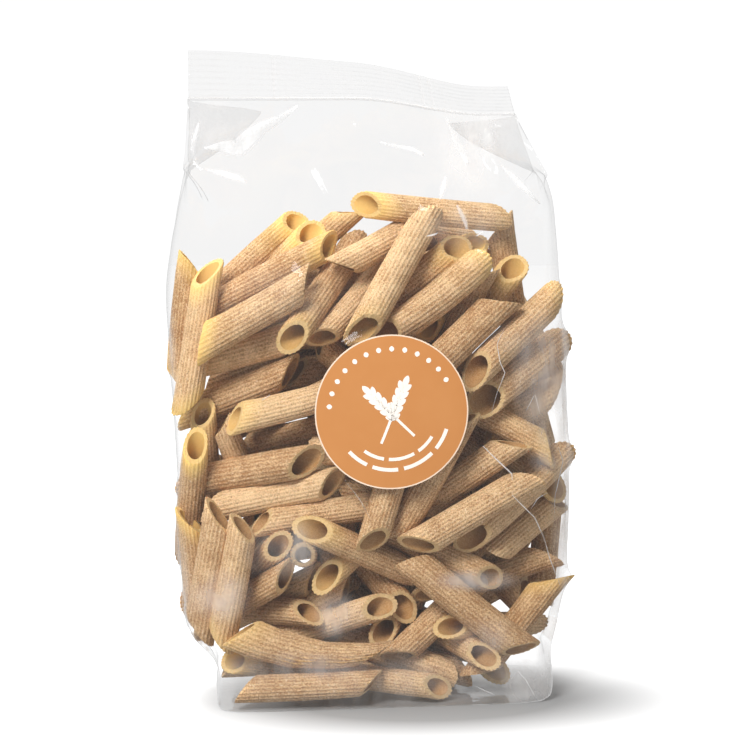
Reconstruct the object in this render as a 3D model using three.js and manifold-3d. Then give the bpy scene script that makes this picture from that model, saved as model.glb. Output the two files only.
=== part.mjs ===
// A clear film bag of penne, standing on its folded block bottom, with a round paper label.
// Millimetres, +Z up. The origin is the middle of the flat base, and the labelled front faces -Y.

import * as THREE from 'three';
import { mergeVertices } from 'three/addons/utils/BufferGeometryUtils.js';
import Module from 'manifold-3d';

// The film tube that the bag is made from: two panels and two side gussets.
const PANEL_WIDTH = 106;
const GUSSET_DEPTH = 29;
const TUBE_GIRTH = 2 * PANEL_WIDTH + 4 * GUSSET_DEPTH;

// Heights of the parts of the bag.
const CREASE_HEIGHT = 14;
const GUSSET_FOLD_START = 138;
const TUCK_START = 146;
const SEAL_FOOT = 186;
const SEAL_HEIGHT = 14.8;

// The outline of the filled bag at a few heights: how far it reaches to the left, right,
// front and back, and how square its corners are (2 is an ellipse, 10 is nearly a rectangle).
const STATIONS = [
  { height: 0, left: -52.4, right: 50.1, front: -27.0, back: 27.0, square: 10 },
  { height: 1.5, left: -53.2, right: 51.8, front: -28.0, back: 28.0, square: 10 },
  { height: 8, left: -53.4, right: 52.6, front: -28.6, back: 28.6, square: 9 },
  { height: CREASE_HEIGHT, left: -56.0, right: 52.4, front: -27.6, back: 28.4, square: 7 },
  { height: 21.5, left: -62.8, right: 54.2, front: -29.0, back: 29.2, square: 4.6 },
  { height: 36, left: -64.6, right: 57.4, front: -29.6, back: 29.6, square: 3.8 },
  { height: 60, left: -65.4, right: 58.8, front: -30.0, back: 30.0, square: 3.5 },
  { height: 95, left: -67.2, right: 57.8, front: -29.6, back: 30.0, square: 3.4 },
  { height: 125, left: -68.8, right: 56.0, front: -27.5, back: 28.5, square: 3.2 },
  { height: 151, left: -65.4, right: 54.2, front: -19.5, back: 21.5, square: 3.2 },
  { height: 169, left: -61.4, right: 48.0, front: -9.0, back: 10.5, square: 3.2 },
  { height: SEAL_FOOT, left: -60.8, right: 41.2, front: -0.7, back: 0.7, square: 3.2 },
];

// The base is a little askew: its front edge lies further left than its back edge.
const BASE_SKEW = 2.3;
const BASE_SKEW_REACH = 24;

// The seal leans back more and more towards its right end, where its foot also drops.
const SEAL_LEAN = THREE.MathUtils.degToRad(56);
const SEAL_DROP = 5;
const SEAL_RIBS = 8;
const SEAL_RIB_HEIGHT = 0.35;
const SEAL_THICKNESS = 1;
const SEAL_ROOT = 3;

// Penne and the core that they stand on.
const PENNE_LENGTH = 41;
const PENNE_RADIUS = 5;
const PENNE_BORE = 3.3;
const PENNE_BORE_DEPTH = 6;
const PENNE_SIDES = 8;
const PENNE_SLANT = THREE.MathUtils.degToRad(38);
const PENNE_SEED = 7;
const PENNE_DARTS = 5000;
const PENNE_DEPTHS = [0.1, 1.7, 3.3];
const PENNE_SPACING = 6.9;
const PENNE_PITCH = 10.6;
const PENNE_SAG = 3;
const BANDS = [36, 64, 91, 118];
const TILT_MEAN = THREE.MathUtils.degToRad(52);
const TILT_SWING = THREE.MathUtils.degToRad(24);
const TILT_SPREAD = THREE.MathUtils.degToRad(11);
const TILT_RISE = 24;
const CORE_INSET = 6;
const FILL_BOTTOM = 19;
const FILL_TOP = 138;
const FILL_FADE = 12;

// The round label on the front.
const LABEL_RADIUS = 23.5;
const LABEL_THICKNESS = 0.4;
const LABEL_GAP = 0.35;
const LABEL_CENTRE = { x: -2, z: 92.2 };
const LABEL_PAD = 9;

// How finely the bag is faceted.
const PANEL_STEPS = 8;
const GUSSET_STEPS = 4;
const LEVEL_STEPS = [
  [0, 1.5, 1],
  [1.5, CREASE_HEIGHT, 2],
  [CREASE_HEIGHT, 21.5, 2],
  [21.5, FILL_TOP, 10],
  [FILL_TOP, SEAL_FOOT, 9],
];
const SECTION_SAMPLES = 480;

const clamp01 = (value) => Math.min(1, Math.max(0, value));

const smooth = (value) => {
  const t = clamp01(value);
  return t * t * (3 - 2 * t);
};

// Repeatable random numbers from 0 to 1.
function seededRandom(seed) {
  let state = seed >>> 0;
  return () => {
    state = (state + 0x6d2b79f5) >>> 0;
    let mixed = Math.imul(state ^ (state >>> 15), 1 | state);
    mixed = (mixed + Math.imul(mixed ^ (mixed >>> 7), 61 | mixed)) ^ mixed;
    return ((mixed ^ (mixed >>> 14)) >>> 0) / 4294967296;
  };
}

// Slope of one outline through station i, limited so that the curve never overshoots.
function stationSlope(side, i) {
  const rate = (j) => (STATIONS[j + 1][side] - STATIONS[j][side])
    / (STATIONS[j + 1].height - STATIONS[j].height);
  if (i === 0) return rate(0);
  if (i === STATIONS.length - 1) return rate(i - 1);
  const before = rate(i - 1);
  const after = rate(i);
  return before * after <= 0 ? 0 : (2 * before * after) / (before + after);
}

// One of the outlines at any height, on a smooth curve through the stations.
function outline(side, height) {
  const z = Math.min(Math.max(height, 0), SEAL_FOOT);
  let i = 0;
  while (i < STATIONS.length - 2 && z > STATIONS[i + 1].height) i += 1;
  const step = STATIONS[i + 1].height - STATIONS[i].height;
  const t = (z - STATIONS[i].height) / step;
  const start = STATIONS[i][side];
  const end = STATIONS[i + 1][side];
  const ease = t * t * (3 - 2 * t);
  const tangents = stationSlope(side, i) * t * (1 - t) ** 2 - stationSlope(side, i + 1) * t * t * (1 - t);
  return start + (end - start) * ease + tangents * step;
}

// A place at the given share of the length of a line.
function along(line, lengths, share) {
  const wanted = share * lengths[lengths.length - 1];
  let low = 0;
  let high = line.length - 1;
  while (high - low > 1) {
    const middle = (low + high) >> 1;
    if (lengths[middle] > wanted) high = middle;
    else low = middle;
  }
  const t = (wanted - lengths[low]) / Math.max(lengths[high] - lengths[low], 1e-9);
  return [0, 1].map((axis) => THREE.MathUtils.lerp(line[low][axis], line[high][axis], t));
}

// Share of the way round, from the middle of the front, at which a panel turns into a gusset.
const CORNER_SHARE = PANEL_WIDTH / 2 / TUBE_GIRTH;

// Shares over the right side, among which the section reaches furthest out.
const SIDE_SHARES = Array.from({ length: 13 }, (_, i) => CORNER_SHARE - 0.03 + ((0.28 - CORNER_SHARE) * i) / 12);

// The filled bag's level section as a rounded rectangle, from the middle of the front round.
function roundLine(halfWidth, halfDepth, square) {
  const line = [];
  const lengths = [0];
  for (let i = 0; i <= SECTION_SAMPLES; i += 1) {
    const angle = -Math.PI / 2 + (2 * Math.PI * i) / SECTION_SAMPLES;
    const c = Math.cos(angle);
    const s = Math.sin(angle);
    line.push([
      halfWidth * Math.sign(c) * Math.abs(c) ** (2 / square),
      halfDepth * Math.sign(s) * Math.abs(s) ** (2 / square),
    ]);
    if (i > 0) {
      lengths.push(lengths[i - 1] + Math.hypot(line[i][0] - line[i - 1][0], line[i][1] - line[i - 1][1]));
    }
  }
  return { line, lengths };
}

const KNOTS = [0, CORNER_SHARE, 0.25, 0.5 - CORNER_SHARE, 0.5, 0.5 + CORNER_SHARE, 0.75, 1 - CORNER_SHARE, 1];
const KNOTS_ALONG = [-1, -1, 0, 1, 1, 1, 0, -1, -1];

// All that a level section needs: its rounded line, how far the gussets tuck in, and how far
// it has changed from the filled shape to the folded one.
function makeLevel(height) {
  const left = outline('left', height);
  const right = outline('right', height);
  const front = outline('front', height);
  const back = outline('back', height);
  const halfWidth = (right - left) / 2;
  const halfDepth = (back - front) / 2;
  const tuck = clamp01((height - TUCK_START) / (SEAL_FOOT - TUCK_START)) * smooth((halfDepth - 0.9) / 2);
  const fold = (GUSSET_DEPTH * 0.9 * tuck) / halfWidth;
  return {
    ...roundLine(halfWidth, halfDepth, outline('square', height)),
    centre: [(left + right) / 2, (front + back) / 2],
    halfWidth,
    halfDepth,
    across: [0, 1, 1 - fold, 1, 0, -1, fold - 1, -1, 0],
    blend: smooth((height - GUSSET_FOLD_START) / (SEAL_FOOT - 4 - GUSSET_FOLD_START)),
    widen: 1,
    skew: (BASE_SKEW * (1 - smooth(height / BASE_SKEW_REACH))) / halfDepth,
  };
}

function levelPlace(level, share) {
  const filled = along(level.line, level.lengths, share);
  let k = 0;
  while (k < KNOTS.length - 2 && share > KNOTS[k + 1]) k += 1;
  const t = (share - KNOTS[k]) / (KNOTS[k + 1] - KNOTS[k]);
  const flatX = level.halfWidth * THREE.MathUtils.lerp(level.across[k], level.across[k + 1], t);
  const flatY = level.halfDepth * THREE.MathUtils.lerp(KNOTS_ALONG[k], KNOTS_ALONG[k + 1], t);
  return [
    level.centre[0] + THREE.MathUtils.lerp(filled[0], flatX, level.blend) * level.widen,
    level.centre[1] + THREE.MathUtils.lerp(filled[1], flatY, level.blend),
  ];
}

const levelStore = new Map();

// The level at a height, to the nearest quarter of a millimetre, widened to reach its outlines.
function levelAt(height) {
  const key = Math.round(height * 4);
  if (!levelStore.has(key)) {
    const level = makeLevel(key / 4);
    const reach = SIDE_SHARES.map((share) => levelPlace(level, share)[0] - level.centre[0]);
    level.widen = level.halfWidth / Math.max(...reach);
    levelStore.set(key, level);
  }
  return levelStore.get(key);
}

// The level section of the film, as points at the given shares of the way round. A share runs
// from 0 at the middle of the front over the right side, the back and the left side to 1.
function section(height, shares) {
  const level = levelAt(height);
  return shares.map((share) => {
    const [x, y] = levelPlace(level, share - Math.floor(share));
    return [x + level.skew * (y - level.centre[1]), y];
  });
}

// How far the top of the bag has sunk at a place across it, from none at the left to the right end.
function seal(x) {
  const start = outline('left', SEAL_FOOT);
  const t = clamp01((x - start) / (outline('right', SEAL_FOOT) - start));
  return { lean: SEAL_LEAN * (1 - (1 - t) ** 2), drop: SEAL_DROP * smooth((t - 0.5) / 0.4) };
}

function sunk(x, y, height) {
  const share = smooth((height - 150) / (SEAL_FOOT - 150));
  return new THREE.Vector3(x, y, height - seal(x).drop * share);
}

// A place on the film, moved inwards by a depth.
function filmPoint(height, share, depth) {
  const small = 0.004;
  const [before, here, after] = section(height, [share - small, share, share + small]);
  const length = Math.hypot(after[0] - before[0], after[1] - before[1]);
  const inX = -(after[1] - before[1]) / length;
  const inY = (after[0] - before[0]) / length;
  return sunk(here[0] + inX * depth, here[1] + inY * depth, height);
}

// How far the core lies behind the film: the penne stand out from it, and the label lies flat on it.
function coreInset(point, height) {
  const filled = smooth((height - CREASE_HEIGHT) / (FILL_BOTTOM - CREASE_HEIGHT))
    * smooth((FILL_TOP + FILL_FADE - height) / FILL_FADE);
  const fromLabel = Math.hypot(point[0] - LABEL_CENTRE.x, height - LABEL_CENTRE.z);
  const clearOfLabel = point[1] < 0 ? smooth((fromLabel - LABEL_RADIUS - 2) / LABEL_PAD) : 1;
  return CORE_INSET * filled * clearOfLabel;
}

function shareSteps() {
  const spans = [
    [0, CORNER_SHARE, PANEL_STEPS],
    [CORNER_SHARE, 0.5 - CORNER_SHARE, 2 * GUSSET_STEPS],
    [0.5 - CORNER_SHARE, 0.5 + CORNER_SHARE, 2 * PANEL_STEPS],
    [0.5 + CORNER_SHARE, 1 - CORNER_SHARE, 2 * GUSSET_STEPS],
    [1 - CORNER_SHARE, 1, PANEL_STEPS],
  ];
  return spans.flatMap(([start, end, steps]) => (
    Array.from({ length: steps }, (_, i) => start + ((end - start) * i) / steps)));
}

function levelSteps() {
  const levels = LEVEL_STEPS.flatMap(([start, end, steps]) => (
    Array.from({ length: steps }, (_, i) => start + ((end - start) * i) / steps)));
  return [...levels, SEAL_FOOT];
}

function closedGeometry(points, triangles) {
  const geometry = new THREE.BufferGeometry();
  geometry.setAttribute('position', new THREE.Float32BufferAttribute(points.flatMap((p) => p.toArray()), 3));
  geometry.setIndex(triangles.flat());
  return geometry;
}

const quad = (a, b, c, d) => [[a, b, c], [a, c, d]];

// The filled bag up to the foot of the seal.
function bodyGeometry() {
  const shares = shareSteps();
  const count = shares.length;
  const levels = levelSteps();
  const points = levels.flatMap((height) => {
    const line = section(height, shares);
    return line.map((point, i) => {
      const inset = coreInset(point, height);
      return inset > 0 ? filmPoint(height, shares[i], inset) : sunk(point[0], point[1], height);
    });
  });
  const triangles = [];
  for (let level = 0; level < levels.length - 1; level += 1) {
    for (let i = 0; i < count; i += 1) {
      const low = level * count;
      const next = (i + 1) % count;
      triangles.push(...quad(low + i, low + next, low + count + next, low + count + i));
    }
  }
  const top = (levels.length - 1) * count;
  for (let k = 0; k < count / 2; k += 1) {
    const frontNow = (count / 4 - k + count) % count;
    const frontNext = (count / 4 - k - 1 + count) % count;
    const backNow = count / 4 + k;
    const backNext = backNow + 1;
    if (k > 0) {
      triangles.push([top + frontNow, top + backNow, top + backNext], [backNow, frontNow, backNext]);
    }
    if (k < count / 2 - 1) {
      triangles.push([top + frontNow, top + backNext, top + frontNext], [frontNow, frontNext, backNext]);
    }
  }
  return closedGeometry(points, triangles);
}

// The crimped heat seal: a thin strip of level ribs, rooted in the top of the body.
function sealGeometry() {
  const columns = 14;
  const rows = 2 * SEAL_RIBS;
  const left = outline('left', SEAL_FOOT) + 0.4;
  const right = outline('right', SEAL_FOOT) - 0.4;
  const sheet = (side) => {
    const points = [];
    for (let row = -1; row <= rows; row += 1) {
      for (let column = 0; column <= columns; column += 1) {
        const x = THREE.MathUtils.lerp(left, right, column / columns);
        const { lean, drop } = seal(x);
        const along = row < 0 ? 0 : (SEAL_HEIGHT * row) / rows;
        const wave = row > 0 && row % 2 === 0 ? SEAL_RIB_HEIGHT : 0;
        const off = wave + (side * SEAL_THICKNESS) / 2;
        const root = row < 0 ? SEAL_ROOT : 0;
        points.push(new THREE.Vector3(
          x,
          along * Math.sin(lean) + off * Math.cos(lean),
          SEAL_FOOT - drop - root + along * Math.cos(lean) - off * Math.sin(lean),
        ));
      }
    }
    return points;
  };
  const points = [...sheet(-1), ...sheet(1)];
  const wide = columns + 1;
  const back = wide * (rows + 2);
  const triangles = [];
  for (let row = 0; row <= rows; row += 1) {
    for (let column = 0; column < columns; column += 1) {
      const a = row * wide + column;
      triangles.push(...quad(a, a + 1, a + wide + 1, a + wide));
      triangles.push(...quad(back + a + 1, back + a, back + a + wide, back + a + wide + 1));
    }
    const start = row * wide;
    const end = start + columns;
    triangles.push(...quad(end, back + end, back + end + wide, end + wide));
    triangles.push(...quad(back + start, start, start + wide, back + start + wide));
  }
  const topRow = (rows + 1) * wide;
  for (let column = 0; column < columns; column += 1) {
    const high = topRow + column;
    triangles.push(...quad(high, high + 1, back + high + 1, back + high));
    triangles.push(...quad(back + column, back + column + 1, column + 1, column));
  }
  return closedGeometry(points, triangles);
}

// One penne: a tube along X with slanted ends, both hollowed a little way in.
function penneGeometry() {
  const slope = Math.tan(PENNE_SLANT);
  const reach = PENNE_LENGTH / 2 - PENNE_RADIUS * slope;
  const ring = (end, radius) => Array.from({ length: PENNE_SIDES }, (_, i) => {
    const angle = (2 * Math.PI * i) / PENNE_SIDES;
    const y = radius * Math.cos(angle);
    return new THREE.Vector3(end * reach + slope * y, y, radius * Math.sin(angle));
  });
  const rings = [ring(-1, PENNE_BORE), ring(-1, PENNE_RADIUS), ring(1, PENNE_RADIUS), ring(1, PENNE_BORE)];
  const tips = [-1, 1].map((end) => new THREE.Vector3(end * (reach - PENNE_BORE_DEPTH), 0, 0));
  const points = [...rings.flat(), ...tips];
  const startTip = points.length - 2;
  const endTip = points.length - 1;
  const last = (rings.length - 1) * PENNE_SIDES;
  const triangles = [];
  for (let i = 0; i < PENNE_SIDES; i += 1) {
    const next = (i + 1) % PENNE_SIDES;
    for (let r = 0; r < rings.length - 1; r += 1) {
      const low = r * PENNE_SIDES;
      const high = low + PENNE_SIDES;
      triangles.push(...quad(low + i, low + next, high + next, high + i));
    }
    triangles.push([startTip, next, i], [endTip, last + i, last + next]);
  }
  return closedGeometry(points, triangles);
}

// Shortest way between two straight axes, each given by its two ends.
function axisDistance(a, b) {
  const alongA = a.end.clone().sub(a.start);
  const alongB = b.end.clone().sub(b.start);
  const between = a.start.clone().sub(b.start);
  const lengthA = alongA.lengthSq();
  const lengthB = alongB.lengthSq();
  const cross = alongA.dot(alongB);
  const fromA = alongA.dot(between);
  const fromB = alongB.dot(between);
  const spread2 = lengthA * lengthB - cross * cross;
  let s = spread2 > 1e-6 ? clamp01((cross * fromB - fromA * lengthB) / spread2) : 0;
  const t = clamp01((cross * s + fromB) / lengthB);
  s = clamp01((cross * t - fromA) / lengthA);
  return a.start.clone().addScaledVector(alongA, s).distanceTo(b.start.clone().addScaledVector(alongB, t));
}

// An axis for one penne that lies just behind the film round a place on it. Its reach over the
// film is stretched until its ends are a penne's length apart.
function penneAxis(height, share, tilt, depth) {
  let reach = PENNE_LENGTH / 2;
  let axis = null;
  for (let i = 0; i < 4; i += 1) {
    const rise = reach * Math.sin(tilt);
    const turn = (reach * Math.cos(tilt)) / TUBE_GIRTH;
    axis = {
      start: filmPoint(height - rise, share - turn, PENNE_RADIUS + depth),
      end: filmPoint(height + rise, share + turn, PENNE_RADIUS + depth),
    };
    reach *= PENNE_LENGTH / axis.start.distanceTo(axis.end);
  }
  return axis;
}

// The slant that penne take at a place on the film, before each one's own difference.
function tiltAt(height, share) {
  return TILT_MEAN + TILT_SWING * Math.sin(4 * Math.PI * share + height / TILT_RISE);
}

// Places to try: leaning side by side in bands round the bag, then anywhere that is left.
function penneTries(random) {
  const tries = [];
  const add = (height, share) => tries.push({
    height,
    share,
    tilt: tiltAt(height, share) + TILT_SPREAD * (2 * random() - 1),
    roll: random() * 2 * Math.PI,
  });
  BANDS.forEach((band) => {
    let share = random() / 10;
    while (share < 1) {
      const height = band + 6 * (random() - 0.5);
      add(height, share);
      share += PENNE_PITCH / Math.sin(tiltAt(height, share)) / TUBE_GIRTH;
    }
  });
  for (let dart = 0; dart < PENNE_DARTS; dart += 1) {
    add(THREE.MathUtils.lerp(FILL_BOTTOM, FILL_TOP, random()), random());
  }
  return tries;
}

// Each penne goes as near the film as the ones before it leave room for. One whose middle
// would lie far behind the film, or that finds no room, is left out.
function pennePlaces() {
  const placed = [];
  penneTries(seededRandom(PENNE_SEED)).forEach(({ height, share, tilt, roll }) => {
    const rise = Math.abs(Math.sin(tilt)) * PENNE_LENGTH * 0.5;
    if (height - rise < FILL_BOTTOM - 4 || height + rise > FILL_TOP + FILL_FADE / 2) return;
    const fits = PENNE_DEPTHS.map((depth) => penneAxis(height, share, tilt, depth)).find((axis, i) => {
      const middle = axis.start.clone().add(axis.end).multiplyScalar(0.5);
      const sag = middle.distanceTo(filmPoint(height, share, PENNE_RADIUS + PENNE_DEPTHS[i]));
      return sag < PENNE_SAG && placed.every((other) => axisDistance(axis, other) > PENNE_SPACING);
    });
    if (fits) placed.push({ ...fits, roll });
  });
  return placed;
}

function placedGeometry(geometry, { start, end, roll }) {
  const along = end.clone().sub(start).normalize();
  const turn = new THREE.Quaternion().setFromUnitVectors(new THREE.Vector3(1, 0, 0), along);
  turn.multiply(new THREE.Quaternion().setFromAxisAngle(new THREE.Vector3(1, 0, 0), roll));
  const middle = start.clone().add(end).multiplyScalar(0.5);
  const matrix = new THREE.Matrix4().compose(middle, turn, new THREE.Vector3(1, 1, 1));
  return geometry.clone().applyMatrix4(matrix);
}

// The label: a thin disc bent to the front of the film.
function labelGeometry() {
  const sectors = 32;
  const rings = 4;
  const shares = Array.from({ length: 81 }, (_, i) => -0.1 + (0.2 * i) / 80);
  const filmFront = (x, z) => {
    const line = section(z, shares);
    let i = 0;
    while (i < line.length - 2 && line[i + 1][0] < x) i += 1;
    const t = (x - line[i][0]) / (line[i + 1][0] - line[i][0]);
    return THREE.MathUtils.lerp(line[i][1], line[i + 1][1], t);
  };
  const face = (off) => {
    const points = [];
    for (let ring = 0; ring <= rings; ring += 1) {
      const count = ring === 0 ? 1 : sectors;
      for (let i = 0; i < count; i += 1) {
        const angle = (2 * Math.PI * i) / sectors;
        const radius = (LABEL_RADIUS * ring) / rings;
        const x = LABEL_CENTRE.x + radius * Math.cos(angle);
        const z = LABEL_CENTRE.z + radius * Math.sin(angle);
        points.push(new THREE.Vector3(x, filmFront(x, z) - off, z));
      }
    }
    return points;
  };
  const points = [...face(LABEL_GAP + LABEL_THICKNESS), ...face(LABEL_GAP)];
  const back = points.length / 2;
  const triangles = [];
  for (let i = 0; i < sectors; i += 1) {
    const next = (i + 1) % sectors;
    triangles.push([0, 1 + i, 1 + next], [back, back + 1 + next, back + 1 + i]);
    for (let ring = 1; ring < rings; ring += 1) {
      const low = 1 + (ring - 1) * sectors;
      const high = low + sectors;
      triangles.push(...quad(low + i, high + i, high + next, low + next));
      triangles.push(...quad(back + low + next, back + high + next, back + high + i, back + low + i));
    }
    const rim = 1 + (rings - 1) * sectors;
    triangles.push(...quad(rim + i, back + rim + i, back + rim + next, rim + next));
  }
  return closedGeometry(points, triangles);
}

const wasm = await Module();
wasm.setup();

function toSolid(geometry) {
  const bare = geometry.clone();
  bare.deleteAttribute('normal');
  bare.deleteAttribute('uv');
  const merged = mergeVertices(bare, 1e-4);
  return new wasm.Manifold(new wasm.Mesh({
    numProp: 3,
    vertProperties: new Float32Array(merged.attributes.position.array),
    triVerts: new Uint32Array(merged.index.array),
  }));
}

// The biggest piece of a solid: sealed hollows are filled and loose scraps dropped.
function mainPiece(solid) {
  return solid.decompose().reduce((best, piece) => (piece.volume() > best.volume() ? piece : best));
}

function toGeometry(solid) {
  const mesh = solid.getMesh();
  const geometry = new THREE.BufferGeometry();
  geometry.setAttribute('position', new THREE.BufferAttribute(mesh.vertProperties, 3));
  geometry.setIndex(new THREE.BufferAttribute(mesh.triVerts, 1));
  return geometry;
}

function bagGeometry() {
  const penne = penneGeometry();
  let bag = toSolid(bodyGeometry()).add(toSolid(sealGeometry()));
  pennePlaces().forEach((place) => {
    bag = bag.add(toSolid(placedGeometry(penne, place)));
  });
  return toGeometry(mainPiece(bag));
}

function namedMesh(name, geometry, material) {
  const mesh = new THREE.Mesh(geometry, new THREE.MeshStandardMaterial(material));
  mesh.name = name;
  return mesh;
}

const packet = new THREE.Group();
packet.add(namedMesh('bag', bagGeometry(), { color: '#a5835c', roughness: 0.45, metalness: 0 }));
packet.add(namedMesh('label', labelGeometry(), { color: '#de9a5c', roughness: 0.6, metalness: 0 }));

export default packet;
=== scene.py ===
"""A clear film packet of wholemeal penne, standing on its folded base, with a round paper label.

Everything is laid out in millimetres in the frame's axes: +Z up, -Y out of the labelled front and the
origin in the middle of the flat base. Meshes are turned to metres when they are made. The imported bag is
one solid; here a film skin, its sharp creases, a heat seal and loose penne stand for it.
"""

import logging
import math
from collections.abc import Iterable, Sequence
from dataclasses import dataclass
from enum import Enum

import bpy
import numpy as np
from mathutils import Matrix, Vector
from mathutils.bvhtree import BVHTree


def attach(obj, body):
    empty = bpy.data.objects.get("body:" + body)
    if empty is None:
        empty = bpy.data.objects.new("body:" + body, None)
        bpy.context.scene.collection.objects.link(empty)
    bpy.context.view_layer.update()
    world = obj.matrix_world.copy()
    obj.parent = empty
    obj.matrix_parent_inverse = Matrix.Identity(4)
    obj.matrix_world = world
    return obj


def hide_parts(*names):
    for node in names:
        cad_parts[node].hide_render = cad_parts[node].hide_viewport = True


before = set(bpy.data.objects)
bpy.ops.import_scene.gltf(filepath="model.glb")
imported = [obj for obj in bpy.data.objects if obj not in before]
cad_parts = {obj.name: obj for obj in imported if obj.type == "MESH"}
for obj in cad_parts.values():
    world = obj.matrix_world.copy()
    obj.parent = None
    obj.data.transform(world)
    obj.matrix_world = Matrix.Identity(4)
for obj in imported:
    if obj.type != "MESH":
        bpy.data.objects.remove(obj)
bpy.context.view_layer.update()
LOG = logging.getLogger("pasta_packet")

MM = 0.001
ROOT_BODY = "root"
Point2 = tuple[float, float]
Point3 = tuple[float, float, float]


def smooth(value: np.ndarray | float) -> np.ndarray | float:
    """An even S-curve from 0 at 0 to 1 at 1."""
    t = np.clip(value, 0.0, 1.0)
    return t * t * (3 - 2 * t)


def unit(vectors: np.ndarray) -> np.ndarray:
    """The same directions with length 1."""
    return vectors / np.maximum(np.linalg.norm(vectors, axis=-1, keepdims=True), 1e-9)


def linear(hex_colour: str, alpha: float = 1.0) -> tuple[float, float, float, float]:
    """Turns an sRGB colour such as "#DE9A5C" into the linear values that Blender's sockets take."""
    channels = [int(hex_colour[i:i + 2], 16) / 255 for i in (1, 3, 5)]
    red, green, blue = (c / 12.92 if c <= 0.04045 else ((c + 0.055) / 1.055) ** 2.4 for c in channels)
    return red, green, blue, alpha


def distance_to_path(points: np.ndarray, path: np.ndarray) -> np.ndarray:
    """How far points are from an open line of straight stretches.

    Args:
        points: places or pixels, with their coordinates along the last axis.
        path: the line's corners, one per row.

    Returns:
        The distance to the nearest place on the line, for each point.
    """
    nearest = np.full(points.shape[:-1], np.inf)
    for start, end in zip(path[:-1], path[1:]):
        stretch = end - start
        share = np.clip(((points - start) @ stretch) / max(stretch @ stretch, 1e-9), 0, 1)
        gap = points - (start + share[..., None] * stretch)
        nearest = np.minimum(nearest, np.linalg.norm(gap, axis=-1))
    return nearest


class Ripple:
    """Gentle, repeatable unevenness made of a few long sine waves."""

    def __init__(self, seed: int, wavelength: float, waves: int = 7) -> None:
        """Args: seed picks the pattern, wavelength is its usual length in mm, waves is how many add up."""
        random = np.random.default_rng(seed)
        angle = random.uniform(0, math.tau, waves)
        size = math.tau / (wavelength * random.uniform(0.6, 1.7, waves))
        self.pull = np.stack([np.cos(angle), np.sin(angle)]) * size
        self.shift = random.uniform(0, math.tau, waves)

    def at(self, x: np.ndarray, y: np.ndarray) -> np.ndarray:
        """The height at each place, mostly between -1 and 1."""
        phase = x[..., None] * self.pull[0] + y[..., None] * self.pull[1] + self.shift
        return np.sin(phase).mean(axis=-1) * 2


class MeshDraft:
    """Points and faces of one mesh, gathered part by part from arrays."""

    def __init__(self) -> None:
        """Starts with no points and no faces."""
        self.points: list[np.ndarray] = []
        self.faces: list[tuple[np.ndarray, bool]] = []
        self.values: dict[str, list[np.ndarray]] = {}
        self.count = 0

    def add(self, points: np.ndarray, faces: Iterable[np.ndarray], rounded: bool = True,
            **values: np.ndarray | float) -> None:
        """Adds one part.

        Args:
            points: its points in mm, one per row.
            faces: arrays of point numbers with three or four columns.
            rounded: whether the faces shade smoothly into each other.
            values: what each point carries for its material, by name.
        """
        points = points.reshape(-1, 3)
        self.points.append(points)
        self.faces.extend((group + self.count, rounded) for group in faces)
        for name, value in values.items():
            self.values.setdefault(name, []).append(np.broadcast_to(value, (len(points),)))
        self.count += len(points)

    def build(self, name: str, material: bpy.types.Material) -> bpy.types.Object:
        """Makes the mesh object, in metres, and rides it on the root body."""
        mesh = bpy.data.meshes.new(name)
        points = np.concatenate(self.points) * MM
        corners = np.concatenate([group.ravel() for group, _ in self.faces])
        sizes = np.concatenate([np.full(len(group), group.shape[1]) for group, _ in self.faces])
        rounded = np.concatenate([np.full(len(group), flag) for group, flag in self.faces])
        mesh.vertices.add(len(points))
        mesh.vertices.foreach_set("co", points.ravel())
        mesh.loops.add(len(corners))
        mesh.loops.foreach_set("vertex_index", corners)
        mesh.polygons.add(len(sizes))
        mesh.polygons.foreach_set("loop_start", np.concatenate([[0], np.cumsum(sizes)[:-1]]))
        mesh.polygons.foreach_set("use_smooth", rounded)
        mesh.update(calc_edges=True)
        for value_name, parts in self.values.items():
            mesh.attributes.new(value_name, "FLOAT", "POINT").data.foreach_set("value", np.concatenate(parts))
        mesh.materials.append(material)
        mesh.validate()
        piece = bpy.data.objects.new(name, mesh)
        bpy.context.scene.collection.objects.link(piece)
        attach(piece, ROOT_BODY)
        LOG.info("%s: %d triangles", name, int((sizes - 2).sum()))
        return piece


def grid_faces(rows: int, columns: int, wrapped: bool = False, flipped: bool = False) -> np.ndarray:
    """Faces of a grid of points that are numbered row by row.

    Args:
        rows: how many rows of points there are.
        columns: how many points a row has.
        wrapped: whether the last column joins the first.
        flipped: whether the faces look the other way.

    Returns:
        Four point numbers for each face.
    """
    steps = np.arange(columns if wrapped else columns - 1)
    low = np.arange(rows - 1)[:, None] * columns
    here, beyond = low + steps, low + (steps + 1) % columns
    faces = np.stack([here, beyond, beyond + columns, here + columns], axis=-1).reshape(-1, 4)
    return faces[:, ::-1] if flipped else faces


def add_slab(draft: MeshDraft, outer: np.ndarray, inner: np.ndarray, rounded: bool = True,
             **values: np.ndarray | float) -> None:
    """Adds a closed sheet of little thickness between two grids of points of the same shape.

    Args:
        draft: the mesh that it is added to.
        outer: the points of one side, in mm.
        inner: the points of the other side, in mm.
        rounded: whether the faces shade smoothly into each other.
        values: what each point carries for its material, by name.
    """
    rows, columns = outer.shape[:2]
    half = rows * columns
    number = np.arange(half).reshape(rows, columns)
    rim = np.concatenate([number[0], number[1:, -1], number[-1, -2::-1], number[-2:0:-1, 0]])
    following = np.roll(rim, -1)
    edge = np.stack([rim, rim + half, following + half, following], axis=-1)
    spread = {name: np.concatenate([np.ravel(value)] * 2) if np.ndim(value) else value
              for name, value in values.items()}
    faces = [grid_faces(rows, columns), grid_faces(rows, columns, flipped=True) + half, edge]
    draft.add(np.concatenate([outer.reshape(-1, 3), inner.reshape(-1, 3)]), faces, rounded, **spread)


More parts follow.
